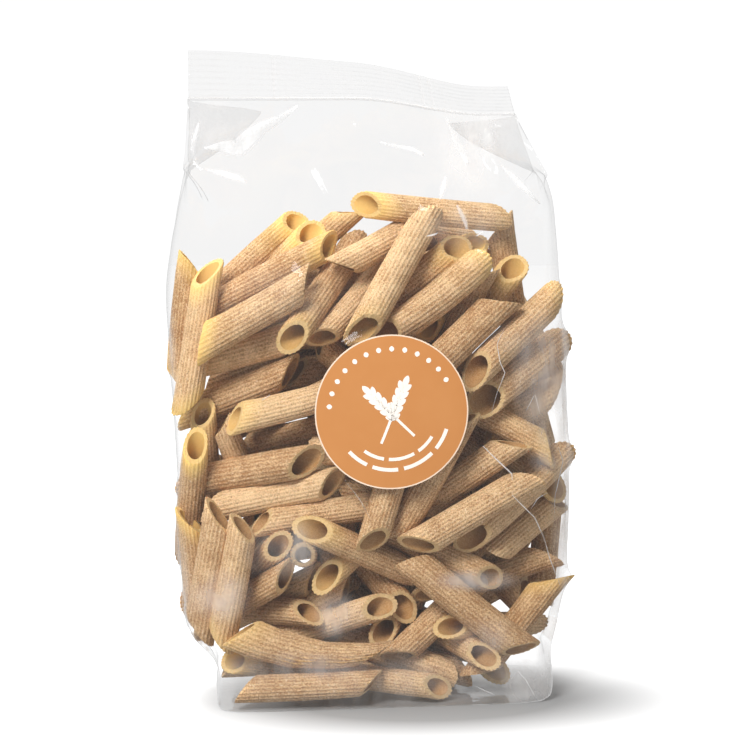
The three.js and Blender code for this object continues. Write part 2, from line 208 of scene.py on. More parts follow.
@dataclass(frozen=True)
class Station:
    """The filled bag's outline at one height, and how square its corners are (2 is an ellipse)."""

    height: float
    left: float
    right: float
    front: float
    back: float
    square: float


# The film tube that the bag is made from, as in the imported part: two panels and two side gussets.
PANEL_WIDTH = 106.0
GUSSET_DEPTH = 29.0
TUBE_GIRTH = 2 * PANEL_WIDTH + 4 * GUSSET_DEPTH
CORNER_SHARE = PANEL_WIDTH / 2 / TUBE_GIRTH
CREASE_HEIGHT = 14.0
GUSSET_FOLD_START = 138.0
TUCK_START = 146.0
SINK_START = 150.0
SEAL_FOOT = 186.0
SEAL_HEIGHT = 14.8
SEAL_LEAN = math.radians(56)
SEAL_DROP = 5.0
SEAL_RIBS = 8
# How far the base is sheared sideways at its front and back, and up to what height.
BASE_SKEW = 2.3
BASE_SKEW_REACH = 24.0
STATIONS = (
    Station(0.0, -52.4, 50.1, -27.0, 27.0, 10),
    Station(1.5, -53.2, 51.8, -28.0, 28.0, 10),
    Station(8.0, -53.4, 52.6, -28.6, 28.6, 9),
    Station(CREASE_HEIGHT, -56.0, 52.4, -27.6, 28.4, 7),
    Station(21.5, -62.8, 54.2, -29.0, 29.2, 4.6),
    Station(36.0, -64.6, 57.4, -29.6, 29.6, 3.8),
    Station(60.0, -65.4, 58.8, -30.0, 30.0, 3.5),
    Station(95.0, -67.2, 57.8, -29.6, 30.0, 3.4),
    Station(125.0, -68.8, 56.0, -27.5, 28.5, 3.2),
    Station(151.0, -65.4, 54.2, -19.5, 21.5, 3.2),
    Station(169.0, -61.4, 48.0, -9.0, 10.5, 3.2),
    Station(SEAL_FOOT, -60.8, 41.2, -0.7, 0.7, 3.2),
)

LABEL_CENTRE = (-2.0, 92.2)
LABEL_RADIUS = 23.5


@dataclass(eq=False)
class BagForm:
    """The form of the filled bag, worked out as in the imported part, and looked up from fine tables."""

    # The tables' rows in mm of height, their columns round the bag, and the x that the faces cover, in mm.
    row_step: float = 0.5
    columns: int = 656
    x_from: float = -72.0
    x_to: float = 64.0
    x_step: float = 1.0
    # The most that a face's slope adds to the room that a piece of pasta needs behind it.
    steepest: float = 2.0

    def __post_init__(self) -> None:
        """Works out the tables: the film's places, its inward directions, and its front and back."""
        self.rows = np.arange(0, SEAL_FOOT + self.row_step / 2, self.row_step)
        shares = np.arange(self.columns) / self.columns
        self.table = np.stack([self._level(height, shares) for height in self.rows])
        tangent = np.roll(self.table, -1, axis=1) - np.roll(self.table, 1, axis=1)
        self.inward = unit(np.stack([-tangent[..., 1], tangent[..., 0], 0 * tangent[..., 0]], axis=-1))
        self.x_grid = np.arange(self.x_from, self.x_to, self.x_step)
        self.faces = np.stack([self._half(side) for side in (0, 1)])
        rise = np.gradient(self.faces, self.row_step, self.x_step, axis=(1, 2))
        self.steepness = np.minimum(np.sqrt(1 + rise[0] ** 2 + rise[1] ** 2), self.steepest)

    @staticmethod
    def outline(side: str, height: np.ndarray | float) -> np.ndarray | float:
        """One of the outlines at any height, on a smooth curve through the stations."""
        heights = np.array([station.height for station in STATIONS])
        values = np.array([getattr(station, side) for station in STATIONS])
        rates = np.diff(values) / np.diff(heights)
        before, after = rates[:-1], rates[1:]
        turning = before * after <= 0
        middle = np.where(turning, 0, 2 * before * after / np.where(turning, 1, before + after))
        slopes = np.concatenate([rates[:1], middle, rates[-1:]])
        z = np.clip(height, 0, SEAL_FOOT)
        i = np.clip(np.searchsorted(heights, z, side="left") - 1, 0, len(heights) - 2)
        step = heights[i + 1] - heights[i]
        t = (z - heights[i]) / step
        bend = slopes[i] * t * (1 - t) ** 2 - slopes[i + 1] * t * t * (1 - t)
        return values[i] + (values[i + 1] - values[i]) * smooth(t) + bend * step

    @staticmethod
    def seal_share(x: np.ndarray | float) -> np.ndarray | float:
        """How far across the seal a place is, from 0 at its left end to 1 at its right end."""
        start, end = BagForm.outline("left", SEAL_FOOT), BagForm.outline("right", SEAL_FOOT)
        return np.clip((x - start) / (end - start), 0, 1)

    @staticmethod
    def sink(x: np.ndarray | float, height: np.ndarray | float) -> np.ndarray | float:
        """How far the top of the bag has sunk at a place, which grows towards its right end."""
        share = smooth((np.asarray(height) - SINK_START) / (SEAL_FOOT - SINK_START))
        return SEAL_DROP * smooth((BagForm.seal_share(x) - 0.5) / 0.4) * share

    def _level(self, height: float, shares: np.ndarray) -> np.ndarray:
        """The level section at a height, at these shares of the way round from the middle of the front."""
        sides = [float(self.outline(side, height)) for side in ("left", "right", "front", "back")]
        left, right, front, back = sides
        half_width, half_depth = (right - left) / 2, (back - front) / 2
        power = 2 / float(self.outline("square", height))
        angle = np.linspace(-math.pi / 2, 1.5 * math.pi, 481)
        line = [half * np.sign(turn) * np.abs(turn) ** power
                for half, turn in ((half_width, np.cos(angle)), (half_depth, np.sin(angle)))]
        lengths = np.concatenate([[0], np.cumsum(np.hypot(np.diff(line[0]), np.diff(line[1])))])
        tuck = np.clip((height - TUCK_START) / (SEAL_FOOT - TUCK_START), 0, 1)
        tuck = tuck * smooth((half_depth - 0.9) / 2)
        fold = GUSSET_DEPTH * 0.9 * float(tuck) / half_width
        skew = BASE_SKEW * (1 - float(smooth(height / BASE_SKEW_REACH))) / half_depth
        corner = CORNER_SHARE
        knots = [0, corner, 0.25, 0.5 - corner, 0.5, 0.5 + corner, 0.75, 1 - corner, 1]
        across = [0, 1, 1 - fold, 1, 0, -1, fold - 1, -1, 0]
        along = [-1, -1, 0, 1, 1, 1, 0, -1, -1]
        blend = float(smooth((height - GUSSET_FOLD_START) / (SEAL_FOOT - 4 - GUSSET_FOLD_START)))

        def places(wanted: np.ndarray) -> tuple[np.ndarray, np.ndarray]:
            """The section's places at these shares, from filled at the belly to folded flat at the seal."""
            filled = [np.interp(wanted * lengths[-1], lengths, values) for values in line]
            flat = [half_width * np.interp(wanted, knots, across),
                    half_depth * np.interp(wanted, knots, along)]
            return tuple(full + (folded - full) * blend for full, folded in zip(filled, flat))

        side_shares = corner - 0.03 + (0.28 - corner) * np.arange(13) / 12
        widen = half_width / places(side_shares)[0].max()
        x, y = places(shares)
        x = (left + right) / 2 + x * widen + y * skew
        y = (front + back) / 2 + y
        return np.stack([x, y, height - self.sink(x, height)], axis=-1)

    def _half(self, side: int) -> np.ndarray:
        """How far forward (side 0) or back (side 1) the film is, over the grid of heights and x."""
        quarter = self.columns // 4
        span = np.arange(-quarter, quarter + 1) + 2 * quarter * side
        half = np.empty((len(self.rows), len(self.x_grid)))
        for row, line in enumerate(self.table):
            x, y = line[span % self.columns, 0], line[span % self.columns, 1]
            low, high = sorted((int(np.argmin(x)), int(np.argmax(x))))
            x, y = x[low:high + 1], y[low:high + 1]
            order = np.argsort(x)
            half[row] = np.interp(self.x_grid, x[order], y[order])
        return half

    def place(self, heights: np.ndarray, shares: np.ndarray, depth: np.ndarray | float = 0.0) -> np.ndarray:
        """Places on the film, moved inwards by a depth, for heights and shares of one shape."""
        row = np.clip(heights / self.row_step, 0, len(self.rows) - 1.001)
        column = (shares % 1.0) * self.columns
        r, c = np.floor(row).astype(int), np.floor(column).astype(int)
        tr, tc = (row - r)[..., None], (column - c)[..., None]
        c, following = c % self.columns, (c + 1) % self.columns

        def blended(values: np.ndarray) -> np.ndarray:
            """A value between the four nearest places of a table."""
            low = values[r, c] * (1 - tc) + values[r, following] * tc
            high = values[r + 1, c] * (1 - tc) + values[r + 1, following] * tc
            return low * (1 - tr) + high * tr

        return blended(self.table) + unit(blended(self.inward)) * np.asarray(depth)[..., None]

    def inward_at(self, heights: np.ndarray, shares: np.ndarray) -> np.ndarray:
        """The level direction into the bag at places on the film."""
        return unit(self.place(heights, shares, 1.0) - self.place(heights, shares))

    def look_up(self, table: np.ndarray, x: np.ndarray, z: np.ndarray) -> np.ndarray:
        """A value between the grid places of a table over heights and x."""
        height = z + self.sink(x, z)
        row = np.clip(height / self.row_step, 0, len(self.rows) - 1.001)
        column = np.clip((x - self.x_grid[0]) / self.x_step, 0, len(self.x_grid) - 1.001)
        r, c = np.floor(row).astype(int), np.floor(column).astype(int)
        tr, tc = row - r, column - c
        low = table[r, c] * (1 - tc) + table[r, c + 1] * tc
        high = table[r + 1, c] * (1 - tc) + table[r + 1, c + 1] * tc
        return low * (1 - tr) + high * tr

    def front(self, x: np.ndarray, z: np.ndarray) -> np.ndarray:
        """How far forward the film's front is."""
        return self.look_up(self.faces[0], x, z)


@dataclass(eq=False)
class PhotoView:
    """Where the photograph was taken from, and what its pixels look at."""

    # The picture's width and focal length in pixels, and its scale at the front of the packet.
    width_px: int = 751
    focal_px: float = 2880.0
    px_per_mm: float = 3.27
    # The camera: its sensor's width, its direction from the packet, and its distance and aim in mm.
    sensor_mm: float = 36.0
    azimuth: float = math.radians(-8)
    elevation: float = math.radians(7)
    distance: float = 900.0
    target: Point3 = (-2.75, 0.0, 99.7)

    def __post_init__(self) -> None:
        """Works out where the eye is, and the directions of the picture."""
        level = math.cos(self.elevation)
        self.back = np.array([math.sin(self.azimuth) * level, -math.cos(self.azimuth) * level,
                              math.sin(self.elevation)])
        self.right = unit(np.cross([0, 0, 1.0], self.back))
        self.up = np.cross(self.back, self.right)
        self.eye = np.array(self.target) + self.back * self.distance

    def rays(self, px: np.ndarray) -> np.ndarray:
        """The directions in which pixels look."""
        middle = self.width_px / 2
        across = (px[..., 0, None] - middle) / self.focal_px * self.right
        down = (px[..., 1, None] - middle) / self.focal_px * self.up
        return unit(across - down - self.back)

    def pixels(self, points: np.ndarray) -> np.ndarray:
        """Where points show in the photograph."""
        offset = points - self.eye
        depth = -offset @ self.back
        middle = self.width_px / 2
        return np.stack([middle + self.focal_px * (offset @ self.right) / depth,
                         middle - self.focal_px * (offset @ self.up) / depth], axis=-1)

    def onto_front(self, form: BagForm, px: np.ndarray, depth: np.ndarray) -> np.ndarray:
        """The places that pixels look at, this deep behind the film's front."""
        rays = self.rays(px)
        y = np.full(len(px), -28.0)
        for _ in range(8):
            points = self.eye + rays * ((y - self.eye[1]) / rays[:, 1])[:, None]
            y = form.front(points[:, 0], points[:, 2]) + depth
        return self.eye + rays * ((y - self.eye[1]) / rays[:, 1])[:, None]

    def make_camera(self) -> None:
        """Puts the scene's camera there."""
        data = bpy.data.cameras.new("camera")
        data.sensor_width = self.sensor_mm
        data.lens = self.focal_px * self.sensor_mm / self.width_px
        data.clip_start, data.clip_end = 0.01, 20.0
        camera = bpy.data.objects.new("camera", data)
        camera.location = self.eye * MM
        camera.rotation_mode = "QUATERNION"
        camera.rotation_quaternion = Vector(-self.back).to_track_quat("-Z", "Y")
        bpy.context.scene.collection.objects.link(camera)
        bpy.context.scene.camera = camera


class Nodes:
    """Adds nodes with their settings and links to one node tree."""

    def __init__(self, tree: bpy.types.NodeTree) -> None:
        """Takes a node tree and empties it."""
        self.tree = tree
        tree.nodes.clear()

    def add(self, kind: str, inputs: dict | None = None, **settings: object) -> bpy.types.Node:
        """Adds one node.

        Args:
            kind: its type without the leading "ShaderNode".
            inputs: values or sockets for its inputs, by name or number.
            settings: the node's own options.
        """
        node = self.tree.nodes.new("ShaderNode" + kind)
        for name, value in settings.items():
            setattr(node, name, value)
        for name, value in (inputs or {}).items():
            if isinstance(value, bpy.types.NodeSocket):
                self.tree.links.new(value, node.inputs[name])
            else:
                node.inputs[name].default_value = value
        return node

    def value(self, name: str) -> bpy.types.NodeSocket:
        """A value that the mesh's points carry."""
        return self.add("Attribute", attribute_name=name).outputs["Fac"]

    def maths(self, operation: str, *inputs: object) -> bpy.types.NodeSocket:
        """The result of one sum."""
        node = self.add("Math", dict(enumerate(inputs)), operation=operation)
        return node.outputs[0]

    def blend(self, share: object, first: object, second: object) -> bpy.types.NodeSocket:
        """Two colours blended by a share."""
        node = self.add("Mix", {0: share, 6: first, 7: second}, data_type="RGBA")
        return node.outputs[2]

    def spread(self, value: object, low: float, high: float, to_low: float = 0.0,
               to_high: float = 1.0) -> bpy.types.NodeSocket:
        """A value stretched from one range to another, and kept inside it."""
        inputs = {"Value": value, "From Min": low, "From Max": high, "To Min": to_low, "To Max": to_high}
        return self.add("MapRange", inputs).outputs["Result"]

    def noise(self, place: object, size_mm: float, detail: float = 2.0, stretch: Sequence[float] = (1, 1, 1),
              ) -> bpy.types.NodeSocket:
        """Noise whose blotches are about this size."""
        mapping = self.add("Mapping", {"Vector": place, "Scale": [s / (size_mm * MM) for s in stretch]})
        inputs = {"Vector": mapping.outputs[0], "Scale": 1.0, "Detail": detail}
        return self.add("TexNoise", inputs).outputs["Fac"]

    def output(self, shader: object) -> None:
        """Makes this shader the surface."""
        self.add("OutputMaterial", {"Surface": shader})


def new_material(name: str) -> tuple[bpy.types.Material, Nodes]:
    """An empty material and its nodes."""
    material = bpy.data.materials.new(name)
    material.use_nodes = True
    return material, Nodes(material.node_tree)


@dataclass(frozen=True)
class PastaFinish:
    """Dried wholemeal pasta from a bronze die: the rough die leaves it matt, floury and finely grained."""

    bran: str = "#63432C"
    body: str = "#A4764A"
    floury: str = "#EDCA9C"
    meal: str = "#F6E2C2"
    bore: str = "#B4854E"
    cut: str = "#DFBF8A"
    # The golden colour of the painted glow where light would shine through the ends.
    thin: str = "#FFD67C"
    grain_mm: float = 0.42
    speck_mm: float = 0.7
    blotch_mm: float = 4.5
    grain_contrast: float = 0.42
    # How much lighter the ridge crests are painted, a painted highlight along the ridges.
    painted_crest_highlight: float = 0.2
    blotch_contrast: float = 0.2
    roughness: float = 0.62

    def material(self) -> bpy.types.Material:
        """Tan with painted highlights on the ridge crests, dark bran and pale meal specks; a golden painted
        glow at the ends stands for light shining through them.
        """
        material, nodes = new_material("wholemeal_pasta")
        place = nodes.add("TexCoord").outputs["Object"]
        grain = nodes.noise(place, self.grain_mm, 2)
        blotch = nodes.noise(place, self.blotch_mm, 2)
        fleck = nodes.noise(place, self.speck_mm, 1)
        shade = nodes.value("tone")
        # The ridge crests are painted lighter, a painted highlight; the tone, the blotches and the grain are
        # the pasta's own.
        for pattern, low, high, contrast in ((blotch, 0.3, 0.7, self.blotch_contrast),
                                             (nodes.value("ridge"), 0.0, 1.0, self.painted_crest_highlight),
                                             (grain, 0.34, 0.66, self.grain_contrast)):
            shade = nodes.maths("ADD", shade, nodes.spread(pattern, low, high, -contrast, contrast))
        colour = nodes.blend(nodes.spread(shade, 0.0, 1.0), linear(self.body), linear(self.floury))
        dark = nodes.maths("MULTIPLY", nodes.spread(fleck, 0.36, 0.28), 0.45)
        pale = nodes.maths("MULTIPLY", nodes.spread(fleck, 0.66, 0.74), 0.6)
        colour = nodes.blend(dark, colour, linear(self.bran))
        colour = nodes.blend(pale, colour, linear(self.meal))
        # The bore and the cut faces take the pasta's own colours; the last blend paints the golden glow of
        # light shining through the ends.
        for name, share, tint in (("bore", 0.7, self.bore), ("cut", 0.7, self.cut),
                                  ("thin", 0.85, self.thin)):
            strength = nodes.maths("MULTIPLY", nodes.value(name), share)
            colour = nodes.blend(strength, colour, linear(tint))
        bump = nodes.add("Bump", {"Height": grain, "Strength": 0.5, "Distance": 0.15 * MM})
        shader = nodes.add("BsdfPrincipled", {
            "Base Color": colour, "Roughness": self.roughness, "IOR": 1.45, "Specular IOR Level": 0.3,
            "Subsurface Weight": 0.12, "Subsurface Radius": (1.0, 0.6, 0.3), "Subsurface Scale": 0.9 * MM,
            "Normal": bump.outputs[0]})
        nodes.output(shader.outputs[0])
        return material


@dataclass(frozen=True)
class FilmFinish:
    """Oriented polypropylene film, cast clear and glossy; folds and heat leave it a little milky, and the
    same milky white paints its reflections and glints.
    """

    name: str
    tint: str = "#F9F9F9"
    veil: str = "#F6F3F1"
    roughness: float = 0.07
    straight_on: float = 0.04
    at_slant: float = 0.9
    back_lit: float = 0.35
    crinkle_mm: float = 9.0
    streak_mm: float = 7.0

    def material(self) -> bpy.types.Material:
        """See-through with a mirror-like skin that grows stronger at a slant, and milky white where veiled:
        real milkiness in places, painted reflections and glints in others.
        """
        material, nodes = new_material(self.name)
        place = nodes.add("TexCoord").outputs["Object"]
        crinkle = nodes.noise(place, self.crinkle_mm, 3, (1.0, 1.0, 0.6))
        bump = nodes.add("Bump", {"Height": crinkle, "Strength": 0.5, "Distance": 0.6 * MM})
        slant = nodes.add("LayerWeight", {"Blend": 0.5, "Normal": bump.outputs[0]}).outputs["Facing"]
        grazing = nodes.maths("MULTIPLY", self.at_slant, nodes.maths("POWER", slant, 5.0))
        mirror = nodes.maths("ADD", self.straight_on, grazing)
        clear = nodes.add("BsdfTransparent", {"Color": linear(self.tint)}).outputs[0]
        front_lit = nodes.add("BsdfDiffuse", {"Color": linear(self.veil)}).outputs[0]
        back_lit = nodes.add("BsdfTranslucent", {"Color": linear(self.veil)}).outputs[0]
        milky = nodes.add("MixShader", {0: self.back_lit, 1: front_lit, 2: back_lit}).outputs[0]
        gloss = nodes.add("BsdfGlossy", {"Roughness": self.roughness, "Normal": bump.outputs[0]}).outputs[0]
        streaks = nodes.noise(place, self.streak_mm, 4, (1.0, 1.0, 0.45))
        patchy = nodes.spread(streaks, 0.35, 0.62, 0.3, 1.25)
        # This milky white carries the film's real milkiness and its painted reflections and glints.
        veil = nodes.maths("MULTIPLY", nodes.value("veil"), patchy)
        veiled = nodes.add("MixShader", {0: veil, 1: clear, 2: milky}).outputs[0]
        skin = nodes.add("MixShader", {0: mirror, 1: veiled, 2: gloss}).outputs[0]
        nodes.output(skin)
        return material


@dataclass(frozen=True)
class PaperFinish:
    """Uncoated sticker paper, printed in one flat colour: matt with a faint fibre tooth."""

    name: str
    colour: str
    shade: str
    roughness: float = 0.6

    def material(self) -> bpy.types.Material:
        """A flat colour that varies very little, with a fibre bump too fine to see but for its mattness."""
        material, nodes = new_material(self.name)
        place = nodes.add("TexCoord").outputs["Object"]
        fibre = nodes.noise(place, 0.5, 3)
        cloud = nodes.noise(place, 12.0, 2)
        colour = nodes.blend(nodes.spread(cloud, 0.3, 0.7), linear(self.colour), linear(self.shade))
        bump = nodes.add("Bump", {"Height": fibre, "Strength": 0.15, "Distance": 0.05 * MM})
        shader = nodes.add("BsdfPrincipled", {
            "Base Color": colour, "Roughness": self.roughness, "IOR": 1.45, "Specular IOR Level": 0.3,
            "Normal": bump.outputs[0]})
        nodes.output(shader.outputs[0])
        return material


class End(Enum):
    """Names the end of a piece of pasta that is out of sight, if one is."""

    NONE = 0
    START = 1
    FINISH = 2


@dataclass(frozen=True)
class Seen:
    """A piece of pasta that the photograph shows.

    Both ends are cut off along parallel planes, so the piece is longest on opposite sides at its two ends.

    Args:
        start: the pixel at the middle of its first end.
        finish: the pixel at the middle of its second end.
        cut: the side on which its start is cut back, in degrees round the piece: 0 is the viewer's side, so
            that the start opens to the viewer, 90 is right of its heading and 180 opens its finish.
        layer: 0 touches the film, 1 lies behind one piece, and so on.
        hidden: the end that is out of sight, so that the piece runs on to its full length there.
        dive: how steeply it goes inwards towards its hidden end, in degrees.
        width: how wide it shows, in pixels.
        sag: how far its middle hangs below its ends, in mm.
        thin: how strong the golden painted glow of light shining through its two ends is, from 0 to 1.
        chipped: whether its ends are broken unevenly.
    """

    start: Point2
    finish: Point2
    cut: float
    layer: float = 0
    hidden: End = End.NONE
    dive: float = 0
    width: float = 31
    sag: float = 0
    thin: Point2 = (0, 0)
    chipped: bool = False


START, FINISH = End.START, End.FINISH
SEEN = (
    Seen((190, 262), (176, 383), -90, layer=1.0, width=26, thin=(0.7, 0.3)),
    Seen((208, 272), (188, 402), 45, width=29, thin=(0.8, 0.9)),
    Seen((203, 345), (305, 285), -90, width=33, thin=(0.9, 0)),
    Seen((217, 303), (330, 246), -130, layer=0.9, width=29, thin=(0, 0.7)),
    Seen((296, 222), (228, 283), 0, layer=1.6, width=28, thin=(0.9, 0)),
    Seen((311, 233), (270, 270), 0, layer=1.8, hidden=FINISH, dive=18, width=28, thin=(0.9, 0)),
    Seen((350, 212), (325, 240), 90, layer=1.4, hidden=FINISH, dive=24, width=28, thin=(0.3, 0)),
    Seen((292, 338), (335, 275), 20, hidden=FINISH, dive=20, width=30, thin=(0.3, 0)),
    Seen((322, 338), (368, 291), 60, layer=0.8, hidden=FINISH, dive=12, width=28),
    Seen((338, 268), (425, 220), 120, layer=0.9, width=29),
    Seen((364, 330), (425, 222), 40, width=32, thin=(0.2, 0), chipped=True),
    Seen((206, 360), (300, 335), -90, layer=1.2, thin=(0.5, 0)),
    Seen((186, 413), (292, 371), -90, layer=0.3, width=32, thin=(0.6, 0)),
    Seen((235, 419), (310, 402), -40, layer=0.8, hidden=FINISH, dive=12, width=29, thin=(0.5, 0)),
    Seen((195, 446), (188, 490), 0, layer=1.0, hidden=FINISH, dive=24, width=28, thin=(0.9, 0)),
    Seen((189, 483), (311, 461), -135, width=33),
    Seen((214, 508), (332, 483), -135, layer=0.9, width=31),
    Seen((238, 450), (330, 428), -90, layer=1.5),
    Seen((338, 490), (378, 506), 120, layer=1.3, hidden=FINISH, dive=16),
    Seen((220, 516), (193, 630), -90, width=32),
    Seen((243, 524), (221, 643), -90, layer=0.3, width=32, thin=(0, 0.4)),
    Seen((188, 521), (180, 600), -90, layer=1.0, hidden=FINISH, width=28, thin=(0.8, 0)),
    Seen((261, 522), (345, 509), -60, layer=0.9, hidden=FINISH, dive=8, width=28),
    Seen((312, 529), (403, 566), -15, hidden=FINISH, dive=6, width=29, thin=(0.3, 0)),
    Seen((278, 546), (272, 568), 0, layer=0.5, hidden=FINISH, dive=56, width=27),
    Seen((303, 555), (307, 562), 0, layer=0.5, hidden=FINISH, dive=72, width=26),
    Seen((243, 600), (286, 575), -90, layer=0.8, hidden=START, dive=35, width=29),
    Seen((262, 604), (314, 578), -90, layer=1.5, hidden=START, dive=25, width=28),
    Seen((326, 578), (362, 553), -20, layer=0.7, hidden=FINISH, dive=26, width=28, thin=(0.3, 0)),
    Seen((240, 618), (311, 613), 90, layer=0.7, hidden=START, dive=14, width=29),
    Seen((240, 634), (375, 653), -90, width=31, sag=3.0, thin=(0.3, 0)),
    Seen((234, 661), (262, 668), 0, layer=0.8, hidden=FINISH, dive=30, width=25, thin=(0.9, 0)),
    Seen((245, 689), (372, 683), -130, width=28),
    Seen((438, 690), (368, 679), 0, layer=0.3, hidden=FINISH, dive=6, width=26),
    Seen((495, 682), (489, 672), 0, layer=0.4, hidden=FINISH, dive=60, width=28, thin=(0.8, 0)),
    Seen((485, 656), (478, 649), 0, layer=0.9, hidden=FINISH, dive=60, width=27, chipped=True),
    Seen((416, 563), (520, 648), -135, width=34),
    Seen((490, 577), (442, 550), 0, layer=0.8, hidden=FINISH, dive=12, width=29),
    Seen((418, 547), (527, 481), 60, width=31),
    Seen((473, 536), (547, 495), 10, layer=0.7, hidden=FINISH, dive=8, width=32, chipped=True),
    Seen((496, 552), (538, 522), 150, layer=1.35, hidden=FINISH, dive=14, width=30),
    Seen((545, 556), (500, 575), 120, layer=1.8, hidden=FINISH, dive=10, width=29),
    Seen((551, 580), (508, 632), 90, layer=0.7, hidden=FINISH, dive=14, width=30, thin=(0.5, 0)),
    Seen((373, 541), (393, 483), 40, hidden=FINISH, dive=16, width=31),
    Seen((401, 530), (434, 478), 110, layer=0.9, hidden=FINISH, dive=12, width=31),
    Seen((433, 512), (511, 445), 90, layer=1.0, hidden=START, dive=8),
    Seen((475, 372), (551, 301), -45, width=33, thin=(0, 0.4)),
    Seen((482, 402), (561, 345), 0, layer=0.8, width=34),
    Seen((485, 428), (565, 386), -90, layer=1.5, thin=(0.3, 0), width=33),
    Seen((450, 358), (500, 302), 90, layer=0.6, hidden=START, dive=10, width=34),
    Seen((388, 334), (476, 266), 0, layer=0.8, width=34, thin=(0, 0.5)),
    Seen((457, 248), (392, 300), 0, layer=0.5, hidden=FINISH, dive=8, thin=(0.4, 0)),
    Seen((513, 268), (495, 296), 30, layer=0.9, hidden=FINISH, dive=28, width=29, thin=(0.5, 0)),
    Seen((366, 205), (496, 218), 0, layer=0.2, width=28, thin=(0.8, 0.2)),
    Seen((500, 225), (508, 270), 90, layer=1.2, hidden=FINISH, dive=20, width=28),
    Seen((550, 450), (515, 430), 90, layer=0.6, hidden=FINISH, dive=18, width=29, thin=(0.5, 0)),
    Seen((555, 488), (535, 472), 40, layer=1.2, hidden=FINISH, dive=30, width=28, thin=(0.3, 0)),
    Seen((325, 624), (381, 606), 180, layer=1.0, hidden=START, dive=8, width=29, chipped=True),
    Seen((404, 608), (376, 570), 0, layer=0.7, hidden=FINISH, dive=24, width=29, chipped=True),
    Seen((383, 632), (392, 626), 0, layer=1.0, hidden=FINISH, dive=60, width=27, chipped=True),
    Seen((398, 656), (457, 605), 60, layer=0.4, hidden=FINISH, dive=10, width=30),
    Seen((450, 627), (483, 633), -30, layer=0.8, hidden=FINISH, dive=30, width=27, thin=(0.2, 0)),
    Seen((427, 595), (450, 575), 60, layer=1.6, hidden=FINISH, dive=10, width=28, chipped=True),
    Seen((318, 342), (346, 368), 90, layer=1.7, hidden=FINISH, dive=14, width=28),
    Seen((207, 384), (290, 352), -90, layer=1.8, width=28),
    Seen((428, 327), (440, 310), 0, layer=1.1, hidden=FINISH, dive=45, width=27, thin=(0.8, 0)),
    Seen((474, 244), (440, 262), 0, layer=1.3, hidden=FINISH, dive=20, width=28, thin=(0.8, 0)),
    Seen((432, 236), (486, 246), 90, layer=1.9, width=28),
    Seen((481, 276), (470, 300), 90, layer=1.3, hidden=FINISH, dive=20, width=28),
    Seen((203, 412), (208, 470), 30, layer=1.2, hidden=FINISH, dive=16, width=27, thin=(0.5, 0)),
    Seen((222, 424), (240, 474), 120, layer=1.0, hidden=FINISH, dive=14, width=28),
    Seen((262, 516), (232, 545), 0, layer=1.7, hidden=FINISH, dive=30, width=28),
    Seen((300, 405), (340, 385), 90, layer=1.8, hidden=FINISH, dive=8, width=28),
    Seen((345, 600), (350, 560), 90, layer=2.0, hidden=FINISH, dive=10, width=28),
    Seen((520, 600), (480, 560), 90, layer=2.2, hidden=FINISH, dive=10, width=28),
)


@dataclass(frozen=True)
class PenneSize:
    """A piece of penne rigate: a ridged tube, cut off at a slant at both ends.

    Args:
        length: from the middle of one cut to the middle of the other, in mm.
        radius: over the ridges, in mm.
        wall: how thick the tube is, in mm.
        slant: the angle between a cut and a square end.
        ridges: how many run along the outside.
        ridge_depth: how deep the grooves between them are, in mm.
    """

    length: float = 39.5
    radius: float = 4.75
    wall: float = 1.35
    slant: float = math.radians(45)
    ridges: int = 22
    ridge_depth: float = 0.26


